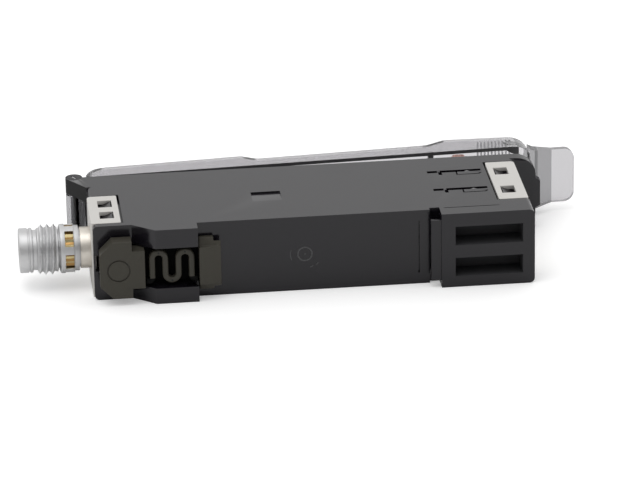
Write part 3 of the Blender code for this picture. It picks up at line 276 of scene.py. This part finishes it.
metals = {
    "platedNickel": {"colour": (0.66, 0.66, 0.664), "roughness": 0.48, "marks": 0.2},
    "neckNickel": {"colour": (0.78, 0.735, 0.665), "roughness": 0.38, "marks": 0.2},
    # painted highlight on the thread's crests and painted shade in its roots
    "threadCrestHighlight": {"colour": (0.85, 0.85, 0.855), "roughness": 0.35, "marks": 0.1},
    "threadRootShade": {"colour": (0.58, 0.58, 0.585), "roughness": 0.45, "marks": 0.1},
    "knurledBrass": {"colour": (0.82, 0.68, 0.36), "roughness": 0.3, "marks": 0.2},
    # painted shade: a dark copy of the brass for the teeth's lower flanks
    "brassShade": {"colour": (0.4, 0.24, 0.09), "roughness": 0.35, "marks": 0.2},
    "contactGold": {"colour": (0.83, 0.6, 0.25), "roughness": 0.2, "marks": 0.1},
    "pinSteel": {"colour": (0.08, 0.08, 0.083), "roughness": 0.5, "marks": 0.4},
    "shaftSteel": {"colour": (0.55, 0.55, 0.555), "roughness": 0.3, "marks": 0.1},
    # painted highlight: the bright floor of the pin head's slot
    "slotPaintedHighlight": {"colour": (0.85, 0.85, 0.85), "roughness": 0.3, "marks": 0.1},
    "switchTin": {"colour": (0.52, 0.52, 0.5), "roughness": 0.35, "marks": 0.2},
}
clears = {
    "smokeClear": {"colour": (0.59, 0.582, 0.596), "roughness": 0.12, "index": 1.32},
    "smokeTab": {"colour": (0.52, 0.512, 0.526), "roughness": 0.12, "index": 1.3},
    "smokeDense": {"colour": (0.36, 0.36, 0.37), "roughness": 0.1, "index": 1.3},
    # painted shade: a dark copy of the smoke for the tab's sides and root and the wall above it
    "smokeShade": {"colour": (0.17, 0.17, 0.174), "roughness": 0.2, "index": 1.3},
    # painted shadow: a near black copy of the smoke for the line between the hinge barrel and the wall
    "smokePaintedShadow": {"colour": (0.05, 0.05, 0.052), "roughness": 0.2, "index": 1.3},
    "windowRed": {"colour": (0.05, 0.008, 0.01), "roughness": 0.06, "index": 1.5},
    "lensCopper": {"colour": (0.86, 0.5, 0.42), "roughness": 0.34, "index": 1.3},
    "resinViolet": {"colour": (0.22, 0.2, 0.3), "roughness": 0.1, "index": 1.52},
}

# what the finishes of each family share: texture scales, how far colour and roughness wander, bump height
plasticWays = {"cloud": 140.0, "grain": 5200.0, "tint": 0.07, "rough": (-0.03, 0.04), "height": 0.02 * mm}
metalWays = {"cloud": 700.0, "rings": 9000.0, "tint": 0.06, "rough": (-0.05, 0.06), "height": 0.01 * mm}
ringStretch = (1.0, 0.05, 0.05)    # fine rings round the plug's long axis
clearWays = {"cloud": 220.0, "tint": 0.02, "rough": (0.8, 1.2)}
noiseSpan = (0.3, 0.7)    # where most values of a noise lie


def noise(tree, source, scale, detail=3.0):
    node = tree.nodes.new("ShaderNodeTexNoise")
    node.inputs["Scale"].default_value = scale
    node.inputs["Detail"].default_value = detail
    tree.links.new(source, node.inputs["Vector"])
    return node.outputs["Fac"]


def spread(tree, source, low, high):
    node = tree.nodes.new("ShaderNodeMapRange")
    node.inputs["From Min"].default_value, node.inputs["From Max"].default_value = noiseSpan
    node.inputs["To Min"].default_value = low
    node.inputs["To Max"].default_value = high
    tree.links.new(source, node.inputs["Value"])
    return node.outputs[0]


def bump(tree, shader, height, strength, distance):
    node = tree.nodes.new("ShaderNodeBump")
    node.inputs["Strength"].default_value = strength
    node.inputs["Distance"].default_value = distance
    tree.links.new(height, node.inputs["Height"])
    tree.links.new(node.outputs[0], shader.inputs["Normal"])


def tinted(tree, source, colour, share):
    # the colour wanders a little either side of its own value
    node = tree.nodes.new("ShaderNodeMix")
    node.data_type = "RGBA"
    tree.links.new(source, node.inputs["Factor"])
    node.inputs["A"].default_value = (*[c * (1 - share) for c in colour], 1)
    node.inputs["B"].default_value = (*[min(c * (1 + share), 1) for c in colour], 1)
    return node.outputs["Result"]


def startFinish(name):
    material = bpy.data.materials.new(name)
    material.use_nodes = True
    tree = material.node_tree
    place = tree.nodes.new("ShaderNodeTexCoord").outputs["Object"]
    return material, tree, tree.nodes["Principled BSDF"], place


def clouded(tree, shader, cloud, colour, tint, roughness):
    tree.links.new(tinted(tree, cloud, colour, tint), shader.inputs["Base Color"])
    tree.links.new(spread(tree, cloud, *roughness), shader.inputs["Roughness"])


def mouldedPlastic(name, settings):
    material, tree, shader, place = startFinish(name)
    cloud = noise(tree, place, plasticWays["cloud"])
    roughness = [settings["roughness"] + change for change in plasticWays["rough"]]
    clouded(tree, shader, cloud, settings["colour"], plasticWays["tint"], roughness)
    shader.inputs["Specular IOR Level"].default_value = settings["specular"]
    fine = noise(tree, place, plasticWays["grain"], 2.0)
    bump(tree, shader, fine, settings["grain"], plasticWays["height"])
    return material


def turnedMetal(name, settings):
    material, tree, shader, place = startFinish(name)
    shader.inputs["Metallic"].default_value = 1.0
    stretch = tree.nodes.new("ShaderNodeMapping")
    stretch.inputs["Scale"].default_value = ringStretch
    tree.links.new(place, stretch.inputs["Vector"])
    cloud = noise(tree, place, metalWays["cloud"])
    roughness = [settings["roughness"] + change for change in metalWays["rough"]]
    clouded(tree, shader, cloud, settings["colour"], metalWays["tint"], roughness)
    rings = noise(tree, stretch.outputs[0], metalWays["rings"], 2.0)
    bump(tree, shader, rings, settings["marks"], metalWays["height"])
    return material


def clearPlastic(name, settings):
    material, tree, shader, place = startFinish(name)
    cloud = noise(tree, place, clearWays["cloud"])
    roughness = [settings["roughness"] * change for change in clearWays["rough"]]
    clouded(tree, shader, cloud, settings["colour"], clearWays["tint"], roughness)
    shader.inputs["Transmission Weight"].default_value = 1.0
    shader.inputs["IOR"].default_value = settings["index"]
    return material


finish = {name: mouldedPlastic(name, settings) for name, settings in finishes.items()}
finish.update({name: turnedMetal(name, settings) for name, settings in metals.items()})
finish.update({name: clearPlastic(name, settings) for name, settings in clears.items()})
print("finishes made:", len(finish))


# the cover stands a little open, and its places are those of the shut cover, in mm
coverSettings = {
    "open": math.radians(2.6),
    "wall": 1.0,    # the side walls' thickness in the solid
    "thinner": 0.42,    # the photographed rim is this much thinner than the wall that closes on the case
    "rimStart": 0.5,
    "rimEnd": 69.9,    # the painted dark line of the rim stops here, at the corner
    "wallEnd": 72.0,
    "tabStart": 72.1,
    "tabRoot": 73.0,    # the end of the tab's root, which takes painted shade
    "barrelTop": 25.6,
    "barrelEdge": -1.05,    # between the hinge barrel and its root
    "near": 0.03,
    "rimSlack": 0.05,
}
hingeSpot = Vector(frame["joints"][0]["pos_m"])
coverBack = Matrix.Translation(hingeSpot)
coverBack @= Matrix.Rotation(-coverSettings["open"], 4, "Z")
coverBack @= Matrix.Translation(-hingeSpot)
rimHeight = (hingeSpot.y - railSide) / mm
coverLow, coverHigh = [corner.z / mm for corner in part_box("cover")]


def shutSpot(spot):
    # where the point lies when the cover is shut
    return inMm(coverBack @ (at(0, 0, 0) + spot * mm))


def cutAcross(shape, place):
    # a straight cut through the whole shape, across the body's length
    whole = [*shape.verts, *shape.edges, *shape.faces]
    bmesh.ops.bisect_plane(shape, geom=whole, plane_co=(place, 0, 0), plane_no=(1, 0, 0))


def thinRim(shape):
    # the cover's side walls are drawn as thin as in the photograph; the outer form stays
    settings = coverSettings
    for vert in shape.verts:
        shut = shutSpot(inMm(vert.co))
        aboveRim = shut.y > rimHeight - settings["rimSlack"]
        onWall = aboveRim and settings["rimStart"] < shut.x < settings["wallEnd"]
        if onWall and abs(shut.z - (coverHigh - settings["wall"])) < settings["near"]:
            vert.co.z += settings["thinner"] * mm
        if onWall and abs(shut.z - (coverLow + settings["wall"])) < settings["near"]:
            vert.co.z -= settings["thinner"] * mm
    for place in (settings["rimEnd"], settings["tabRoot"]):    # the finishes change along straight borders
        cutAcross(shape, at(place, 0, 0).x)


# the hinge pin's head has a screwdriver slot across it
pinSettings = {
    "headHeight": 0.45,
    "slotTurn": math.radians(-59),
    "halfLength": 0.65,
    "halfWidth": 0.14,
    "slotDepth": 0.12,
    "slack": 0.01,
}
pinHeadBase = topFace / mm - pinSettings["headHeight"]
slotLength = Vector((math.cos(pinSettings["slotTurn"]), math.sin(pinSettings["slotTurn"]), 0))
slotWidth = Vector((-slotLength.y, slotLength.x, 0))


def inSlot(spot, normal):
    reach = spot - inMm(hingeSpot)
    reach.z = 0
    along = abs(reach.dot(slotLength)) < pinSettings["halfLength"] + pinSettings["slack"]
    across = abs(reach.dot(slotWidth)) < pinSettings["halfWidth"] + pinSettings["slack"]
    return spot.z > pinHeadBase and normal.z > 0.9 and along and across


def pinTop(shape):
    # the flat faces on top of the pin's head
    shape.normal_update()
    lowest = topFace - 0.02 * mm
    return [face for face in shape.faces if face.normal.z > 0.99 and face.calc_center_median().z > lowest]


def cutSlot(shape):
    for direction, half in ((slotLength, pinSettings["halfLength"]), (slotWidth, pinSettings["halfWidth"])):
        for sign in (1, -1):
            headTop = pinTop(shape)
            edges = dict.fromkeys(edge for face in headTop for edge in face.edges)
            verts = dict.fromkeys(vert for face in headTop for vert in face.verts)
            place = hingeSpot + direction * sign * half * mm
            place.z = topFace
            bmesh.ops.bisect_plane(shape, geom=[*verts, *edges, *headTop], plane_co=place, plane_no=direction)
    floor = [face for face in pinTop(shape) if inSlot(inMm(face.calc_center_median()), face.normal)]
    sunk = bmesh.ops.extrude_face_region(shape, geom=floor)["geom"]
    bmesh.ops.delete(shape, geom=floor, context="FACES")
    bmesh.ops.translate(
        shape,
        verts=[item for item in sunk if isinstance(item, bmesh.types.BMVert)],
        vec=(0, 0, -pinSettings["slotDepth"] * mm),
    )


# the collar is turned down at its neck end and chamfered at its thread end
collarSettings = {
    "neckStep": (0.78, 0.7),    # the turned-down step's foot and top, from the neck end
    "neckDrop": 0.32,
    "chamferLength": 0.35,
    "chamferDrop": 0.22,
    "outside": 0.95,    # a share of the radius: what lies farther out is turned
    "near": 0.02,
}


def turnCollar(shape):
    settings = collarSettings
    low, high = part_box("collar_ring")
    middle = middleOf("collar_ring")
    radius = (high.z - low.z) / 2
    for back in settings["neckStep"]:
        cutAcross(shape, high.x - back * mm)
    cutAcross(shape, low.x + settings["chamferLength"] * mm)
    neckStart = high.x - (settings["neckStep"][1] + settings["near"]) * mm
    chamferEnd = low.x + settings["near"] * mm
    for vert in shape.verts:
        reach = Vector((0, vert.co.y - middle.y, vert.co.z - middle.z))
        if reach.length > settings["outside"] * radius:
            if vert.co.x > neckStart:
                vert.co -= reach.normalized() * settings["neckDrop"] * mm
            if vert.co.x < chamferEnd:
                vert.co -= reach.normalized() * settings["chamferDrop"] * mm


def creaseRamps(shape):
    # the case's shallow ramps on a broad side keep crisp borders
    broadTilt, crease = 0.95, math.radians(1)
    shape.normal_update()
    for edge in shape.edges:
        sides = edge.link_faces
        if len(sides) == 2 and all(abs(side.normal.z) > broadTilt for side in sides):
            edge.smooth = edge.calc_face_angle(0) < crease


def softened(node, name, width, material, segments=2, angle=30):
    # a copy of a node with its sharp moulded edges rounded, and with its own fine forms
    ownForms = {"cover": thinRim, "hinge_pin": cutSlot, "collar_ring": turnCollar}
    shape = bmesh.new()
    shape.from_mesh(frame["nodes"][node].data)
    bmesh.ops.remove_doubles(shape, verts=shape.verts, dist=nodeGap)
    flat = math.radians(0.5)
    bmesh.ops.dissolve_limit(shape, angle_limit=flat, verts=shape.verts, edges=shape.edges)
    if node in ownForms:
        ownForms[node](shape)
    bmesh.ops.triangulate(shape, faces=shape.faces)    # no face keeps a hole in it
    if node == "case":
        creaseRamps(shape)
    mesh = bpy.data.meshes.new(name)
    shape.to_mesh(mesh)
    shape.free()
    mesh.shade_smooth()
    piece = link(name, mesh)
    edge = piece.modifiers.new("edgeRadius", "BEVEL")
    edge.width = width
    edge.segments = segments
    edge.limit_method = "ANGLE"
    edge.angle_limit = math.radians(angle)
    edge.miter_outer = "MITER_ARC"
    even = piece.modifiers.new("evenShading", "WEIGHTED_NORMAL")
    even.keep_sharp = True
    return standFor(piece, node, finish[material])


# edge radii of the moulded and pressed pieces
edgeRadii = {
    "case": ("housing", 0.14 * mm, "housingBlack"),
    "cover": ("smokeCover", 0.22 * mm, "smokeClear"),
    "connector_end_clip": ("plugEndClip", 0.12 * mm, "clipCream"),
    "fibre_end_clip": ("fibreEndClip", 0.12 * mm, "clipCream"),
    "rail_latch_pad": ("latchPad", 0.14 * mm, "latchOlive"),
    "rail_latch_hook": ("latchHook", 0.14 * mm, "latchOlive"),
    "collar_ring": ("plugCollar", 0.06 * mm, "platedNickel"),
    "knurled_ring": ("knurledRing", 0.03 * mm, "knurledBrass"),
    "connector_flange": ("plugNeck", 0.08 * mm, "neckNickel"),
    "front_panel": ("keyPanel", 0.12 * mm, "panelBlack"),
    "fibre_lock_slide": ("fibreLock", 0.1 * mm, "slideIvory"),
    "fibre_socket": ("fibreSocket", 0.12 * mm, "insulatorBlack"),
    "hinge_pin": ("coverPin", 0.1 * mm, "pinSteel"),
}
keySettings = {
    "nodes": ("set_button", "mode_button", "down_button", "up_button"),
    "radius": 0.25 * mm,
    "segments": 3,
}
dressed = {}
for node, (name, width, material) in edgeRadii.items():
    dressed[node] = softened(node, name, width, material)
for node in keySettings["nodes"]:
    name = node.replace("_button", "Key")
    softened(node, name, keySettings["radius"], "keyGrey", segments=keySettings["segments"])
print("moulded pieces dressed")


def above(value):
    return (value, math.inf)


def below(value):
    return (-math.inf, value)


# second finishes: each goes on the faces that lie in one of its boxes, which give ranges in mm of a face's
# place, on the cover of its place when shut, and ranges of its direction
rimStart, rimEnd = coverSettings["rimStart"], coverSettings["rimEnd"]
tabStart, tabRoot = coverSettings["tabStart"], coverSettings["tabRoot"]
barrelEdge, underBarrelTop = coverSettings["barrelEdge"], below(coverSettings["barrelTop"])
secondFinishes = {
    "case": [
        # painted shade on the guide behind the spring, painted light on the pockets, painted shade on the hinge
        # ears' ends, painted light on the snap recess's ramp
        ("paintedDeepShade", [{"x": (8.2, 16.4), "y": above(2.4), "z": (2.3, 9.4)}]),
        ("pocketPaintedLight", [{"x": (54.4, 66.9), "y": (0.2, 4.3), "z": (0.7, 11.6)}]),
        # the hinge ears' ends take the panel's duller finish as painted shade
        ("panelBlack", [{"x": below(0.6), "y": above(20.5), "faceY": below(0.1), "faceZ": below(0.5)}]),
        ("snapRampPaintedLight", [{"x": (25.2, 30.2), "y": (9.6, 13.6), "z": above(11.8), "faceZ": (0.95, 0.9999)}]),
    ],
    "cover": [
        # painted shade: the side nub and the rim, seen edge on, take an opaque dark finish
        ("edgePaintedShade", [
            {"x": (54.8, 56.2), "y": below(rimHeight + 0.02), "z": above(9)},
            {"x": (rimStart, rimEnd), "y": (rimHeight - 0.03, rimHeight + 0.03), "faceY": below(-0.9)},
        ]),
        # the tab in its own tint, and painted shade on its sides and end, on the wall above it and on its root
        ("smokeTab", [{"x": above(tabStart)}]),
        ("smokeShade", [
            {"x": above(tabStart), "faceZ": above(0.5)},
            {"x": above(tabStart), "faceZ": below(-0.5)},
            {"x": above(tabStart), "faceX": above(0.3)},
        ]),
        ("smokeShade", [{"x": (rimEnd - 0.6, tabStart + 0.05), "faceX": above(0.2)}]),
        ("smokeShade", [{"x": (tabStart, tabRoot)}]),
        # the hinge barrel, and painted shadow on the line where it meets the wall
        ("smokeDense", [{"x": below(barrelEdge), "y": underBarrelTop}]),
        ("smokePaintedShadow", [{"x": (barrelEdge, barrelEdge + 1), "y": underBarrelTop}]),
    ],
    "hinge_pin": [("shaftSteel", [{"z": below(pinHeadBase)}])],
}


def within(boxes, shut=False):
    def chosen(spot, normal):
        place = shutSpot(spot) if shut else spot
        measures = dict(zip(("x", "y", "z", "faceX", "faceY", "faceZ"), (*place, *normal)))
        return any(all(low < measures[key] < high for key, (low, high) in box.items()) for box in boxes)

    return chosen


def onKnurlFlank(spot, normal):
    # the lower flank of each tooth, which takes painted shade
    flankTilt = 0.15
    reach = at(*spot) - middleOf("knurled_ring")
    reach.x = 0
    return normal.cross(reach.normalized()).x > flankTilt


def refinish(piece, material, chosen):
    # a second finish on the faces that the test picks, by place (mm) and direction
    piece.data.materials.append(finish[material])
    for face in piece.data.polygons:
        if chosen(inMm(face.center), face.normal):
            face.material_index = len(piece.data.materials) - 1


for node, patches in secondFinishes.items():
    for material, boxes in patches:
        refinish(dressed[node], material, within(boxes, shut=node == "cover"))
# the slot's floor takes a painted highlight
refinish(dressed["hinge_pin"], "slotPaintedHighlight", inSlot)
refinish(dressed["knurled_ring"], "brassShade", onKnurlFlank)
print("second finishes laid")


# threaded shell of the round plug
shellSettings = {
    "tip": 11.2,
    "bore": 2.75,
    "boreChamfer": 0.12,
    "nose": 3.5,
    "noseProfile": [    # distances behind the tip and inside the nose's radius
        (0.0, 0.2), (0.06, 0.06), (0.2, 0.0),
        (1.35, 0.0), (1.4, 0.16), (1.6, 0.16), (1.65, 0.0),
        (1.95, 0.0), (2.1, 0.12),
    ],
    "relief": 3.15,
    "reliefStart": 2.15,    # behind the tip
    "reliefEnd": 0.15,    # ahead of the thread
    "core": 3.0,
    "crest": 4.0,
    "root": 3.42,
    "pitch": 1.0,
    "crestShape": 1.6,
    "threadFrom": 5.2,
    "threadTo": 8.35,
    "threadFade": 0.35,
    "threadRunIn": 0.1,
    "inside": 2.2,
    "ringStep": 0.05,
    "around": 96,
    "sharpAngle": math.radians(24),
    "crestShare": (0.55, 1.0),    # the shares of the thread's height that take the painted highlight and the painted shade
    "rootShare": (-1.0, 0.17),
    "plainEnds": 0.3,
}


def threadRadius(settings, along, angle):
    # a sharp crest that climbs one pitch in each turn and fades at both ends
    phase = (along / settings["pitch"] - angle / math.tau) % 1.0
    crest = (1 - abs(2 * phase - 1)) ** settings["crestShape"]
    start, end, fade = settings["threadFrom"], settings["threadTo"], settings["threadFade"]
    share = min((along - start) / fade, (end - along) / fade, 1.0)
    return settings["root"] + (settings["crest"] - settings["root"]) * crest * max(share, 0.0)


def onThread(settings, low, high):
    # the faces whose height lies between two shares of the thread's own height
    middle = middleOf("connector_shell")
    start = settings["threadFrom"] + settings["plainEnds"]
    end = settings["threadTo"] - settings["plainEnds"]

    def chosen(spot, normal):
        reach = at(*spot) - middle
        height = Vector((0, reach.y, reach.z)).length / mm - settings["root"]
        share = height / (settings["crest"] - settings["root"])
        return start < -spot.x < end and low < share <= high

    return chosen


def shellStations(settings):
    # the turned profile as distance along and radius, with no radius on the threaded stretch
    tip, nose, bore = settings["tip"], settings["nose"], settings["bore"]
    chamfer, relief, core = settings["boreChamfer"], settings["relief"], settings["core"]
    stations = [(-settings["inside"], bore), (tip - chamfer, bore), (tip, bore + chamfer)]
    stations += [(tip - back, nose - deep) for back, deep in settings["noseProfile"]]
    start, end, step = settings["threadFrom"], settings["threadTo"], settings["ringStep"]
    stations += [(tip - settings["reliefStart"], relief), (end + settings["reliefEnd"], relief)]
    stations += [(end - i * step, None) for i in range(round((end - start) / step) + 1)]
    return stations + [(start - settings["threadRunIn"], core), (-settings["inside"], core)]


def makeThreadedShell(settings):
    middle = middleOf("connector_shell")
    shape = bmesh.new()
    rings = []
    for along, radius in shellStations(settings):
        ring = []
        for i in range(settings["around"]):
            angle = math.tau * i / settings["around"]
            reach = radius if radius else threadRadius(settings, along, angle)
            spot = Vector((bodyStart - along * mm, middle.y, middle.z))
            spot += Vector((0, math.cos(angle), math.sin(angle))) * reach * mm
            ring.append(shape.verts.new(spot))
        rings.append(ring)
    for i, ring in enumerate(rings):
        following = rings[(i + 1) % len(rings)]
        for k in range(settings["around"]):
            n = (k + 1) % settings["around"]
            shape.faces.new((ring[k], ring[n], following[n], following[k]))
    shell = fromShape("threadedShell", shape)
    shell.data.shade_smooth()
    shell.data.set_sharp_from_angle(angle=settings["sharpAngle"])
    standFor(shell, "connector_shell", finish["platedNickel"])
    refinish(shell, "threadCrestHighlight", onThread(settings, *settings["crestShare"]))
    refinish(shell, "threadRootShade", onThread(settings, *settings["rootShare"]))
    return shell


makeThreadedShell(shellSettings)
print("threaded shell cut")


# the latch's meander spring: one rounded strip
springSettings = {
    "stroke": 0.9,
    "corner": 0.22,
    "pitch": 2.04,
    "bends": 3,
    "turnSteps": 18,
    "footSteps": 5,
    "sharpAngle": math.radians(50),
    "shadedFeet": [    # painted shadow: the feet lie in the guide's shadow and take its near black
        {"x": below(9.6), "z": below(4.35)},
        {"x": above(14.2), "z": below(4.35)},
    ],
}


def bendPoints(centre, radius, start, end, steps):
    points = []
    for i in range(steps + 1):
        angle = math.radians(start + (end - start) * i / steps)
        points.append((centre[0] + radius * math.cos(angle), centre[1] + radius * math.sin(angle)))
    return points


def springRoute(settings, low, high):
    # the strip's middle line in the x, z plane, from its left foot to its right foot
    radius = settings["pitch"] / 2 * mm
    half = settings["stroke"] / 2 * mm
    bottom, top = low.z + half, high.z - half
    first = (low.x + high.x) / 2 - settings["bends"] * radius
    route = [(low.x, bottom), (first - half, bottom)]
    route += bendPoints((first - half, bottom + half), half, -90, 0, settings["footSteps"])
    for i in range(settings["bends"]):
        x = first + (2 * i + 1) * radius
        if i % 2 == 0:
            route += bendPoints((x, top - radius), radius, 180, 0, settings["turnSteps"])
        else:
            route += bendPoints((x, bottom + radius), radius, 180, 360, settings["turnSteps"])
    last = first + 2 * settings["bends"] * radius
    route += bendPoints((last + half, bottom + half), half, 180, 270, settings["footSteps"])
    route.append((high.x, bottom))
    return [Vector(point) for point in route]


def roundedSection(width, depth, corner, steps=3):
    points = []
    for turn, (sx, sy) in enumerate(((1, 1), (-1, 1), (-1, -1), (1, -1))):
        centre = (sx * (width / 2 - corner), sy * (depth / 2 - corner))
        points += bendPoints(centre, corner, turn * 90, turn * 90 + 90, steps)
    return points


def makeMeander(settings):
    low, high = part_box("rail_latch_spring")
    route = springRoute(settings, low, high)
    section = roundedSection(settings["stroke"] * mm, high.y - low.y, settings["corner"] * mm)
    middle = (low.y + high.y) / 2
    shape = bmesh.new()
    rings = []
    for i, point in enumerate(route):
        along = route[min(i + 1, len(route) - 1)] - route[max(i - 1, 0)]
        across = Vector((-along.y, along.x)).normalized()
        ring = []
        for side, depth in section:
            spot = point + across * side
            ring.append(shape.verts.new((spot.x, middle + depth, spot.y)))
        rings.append(ring)
    for ring, following in zip(rings, rings[1:]):
        for k in range(len(ring)):
            n = (k + 1) % len(ring)
            shape.faces.new((ring[k], ring[n], following[n], following[k]))
    shape.faces.new(rings[0])
    shape.faces.new(rings[-1])
    bmesh.ops.remove_doubles(shape, verts=shape.verts, dist=weldGap)
    spring = fromShape("meanderSpring", shape)
    spring.data.shade_smooth()
    spring.data.set_sharp_from_angle(angle=settings["sharpAngle"])
    spring.data.materials.append(finish["latchOlive"])
    # the feet take painted shadow
    refinish(spring, "paintedDeepShade", within(settings["shadedFeet"]))
    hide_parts("rail_latch_spring")
    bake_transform(spring)
    return spring


makeMeander(springSettings)
print("meander spring bent")


# the gate mark and the faint arcs on the rail floor, and the dots on the spring's bends
markSettings = {
    "floor": 2.25,
    "proud": 0.03,
    "centre": (32.65, 6.05),
    "arcs": [    # inner and outer radius, start and end in degrees, steps
        (0.98, 1.22, 0, 360, 40),
        (0.0, 0.14, 0, 360, 12),
        (2.2, 2.34, 160, 203, 8),
        (2.3, 2.44, -72, -58, 4),
        (2.5, 2.64, -48, -36, 4),
    ],
    "dot": (0.0, 0.16, 0, 360, 12),
    "dotProud": 0.01,
}


def ridge(shape, centre, arc, floorY, proud):
    # a low flat-topped ridge on a face that looks towards the rail
    inner, outer, start, end, steps = arc
    rows = []
    for radius, depth in ((inner, 0), (inner, proud), (outer, proud), (outer, 0)):
        points = bendPoints(centre, radius, start, end, steps)
        rows.append([shape.verts.new(at(x, floorY - depth, z)) for x, z in points])
    for row, following in zip(rows, rows[1:]):
        for k in range(steps):
            shape.faces.new((row[k], row[k + 1], following[k + 1], following[k]))
    bmesh.ops.remove_doubles(shape, verts=shape.verts, dist=weldGap)


def makeGateMarks(settings):
    shape = bmesh.new()
    for arc in settings["arcs"]:
        ridge(shape, settings["centre"], arc, settings["floor"], settings["proud"])
    marks = fromShape("gateMarks", shape)
    marks.data.materials.append(finish["gateMark"])
    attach(marks, "housing")


def makeSpringDots(settings):
    # one dot on the outer side of each bend
    low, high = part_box("rail_latch_spring")
    radius = springSettings["pitch"] / 2
    half = springSettings["stroke"] / 2
    middle = (low.x + high.x) / 2 / mm - bodyStart / mm
    bottom, top = low.z / mm + half, high.z / mm - half
    face = (low.y - railSide) / mm
    shape = bmesh.new()
    for step, z in ((-2, top), (0, bottom), (2, top)):
        ridge(shape, (middle + step * radius, z), settings["dot"], face, settings["dotProud"])
    dots = fromShape("springDots", shape)
    dots.data.materials.append(finish["insulatorBlack"])
    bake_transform(dots)


makeGateMarks(markSettings)
makeSpringDots(markSettings)
print("gate marks raised")


# slim clear ribs under the cover's roof, read from the stripes in the open gap
ribSettings = {
    "count": 10,
    "from": 63.9,
    "pitch": 0.57,
    "width": 0.24,
    "sunk": 0.05,    # how far the ribs reach into the roof
    "depth": 0.5,
    "low": 6.2,
    "high": 11.3,
    "taper": 0.03,
    "lead": 0.5,
    "roofAboveRim": 1.0,    # the roof's inner edges lie above this and this far in from the cover's sides
    "roofInset": 0.5,
}


def roofInside(settings, x):
    # the height of the shut cover's inner roof above the given place along the body
    mesh = dressed["cover"].data
    lowest = rimHeight + settings["roofAboveRim"]
    left, right = coverLow + settings["roofInset"], coverHigh - settings["roofInset"]
    heights = []
    for edge in mesh.edges:
        ends = sorted((shutSpot(inMm(mesh.vertices[k].co)) for k in edge.vertices), key=lambda end: end.x)
        inner = all(end.y > lowest and left < end.z < right for end in ends)
        length = ends[1].x - ends[0].x
        if inner and ends[0].x <= x <= ends[1].x and length > 0.01:
            share = (x - ends[0].x) / length
            heights.append(ends[0].y + (ends[1].y - ends[0].y) * share)
    return min(heights)


def makeRibs(settings):
    width, taper = settings["width"], settings["taper"]
    foot = (settings["sunk"], 0, width, settings["low"])
    tip = (-settings["depth"], taper, width - taper, settings["low"] + settings["lead"])
    shape = bmesh.new()
    for i in range(settings["count"]):
        x = settings["from"] + i * settings["pitch"]
        roof = roofInside(settings, x + width / 2)
        corners = []
        for dy, left, right, low in (foot, tip):
            for dx, z in ((left, low), (right, low), (right, settings["high"]), (left, settings["high"])):
                corners.append(shape.verts.new(coverBack.inverted() @ at(x + dx, roof + dy, z)))
        for face in ((0, 1, 2, 3), (4, 5, 6, 7), (0, 1, 5, 4), (1, 2, 6, 5), (2, 3, 7, 6), (3, 0, 4, 7)):
            shape.faces.new([corners[k] for k in face])
    ribs = fromShape("coverRibs", shape)
    ribs.data.materials.append(finish["smokeDense"])
    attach(ribs, "cover")


makeRibs(ribSettings)
print("cover ribs laid")


# the light bar reaches up into the cover's gap
lensSettings = {
    "top": 28.2,
    "radius": 0.1 * mm,
    "band": 0.05 * mm,    # what lies this close to the solid's top goes up with it
}


def makeLens(settings):
    lens = softened("indicator_lens", "lightBar", settings["radius"], "lensCopper")
    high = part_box("indicator_lens")[1].y
    for vert in lens.data.vertices:
        if vert.co.y > high - settings["band"]:
            vert.co.y = at(0, settings["top"], 0).y
    return lens


makeLens(lensSettings)
print("light bar raised")


# nodes that keep their own shape
plainNodes = {
    "display_window": "windowRed",
    "display_module": "moduleGrey",
    "display_board": "boardGreen",
    "main_board": "boardGreen",
    "emitter_led": "resinViolet",
    "receiver_photodiode": "resinViolet",
    "connector_insert": "insulatorBlack",
}
for node, material in plainNodes.items():
    paint(node, finish[material])
for i in range(1, 5):
    paint("contact_pin_%d" % i, finish["contactGold"])
    paint("tact_switch_%d" % i, finish["switchTin"])
print("inner pieces painted")

bpy.context.view_layer.update()
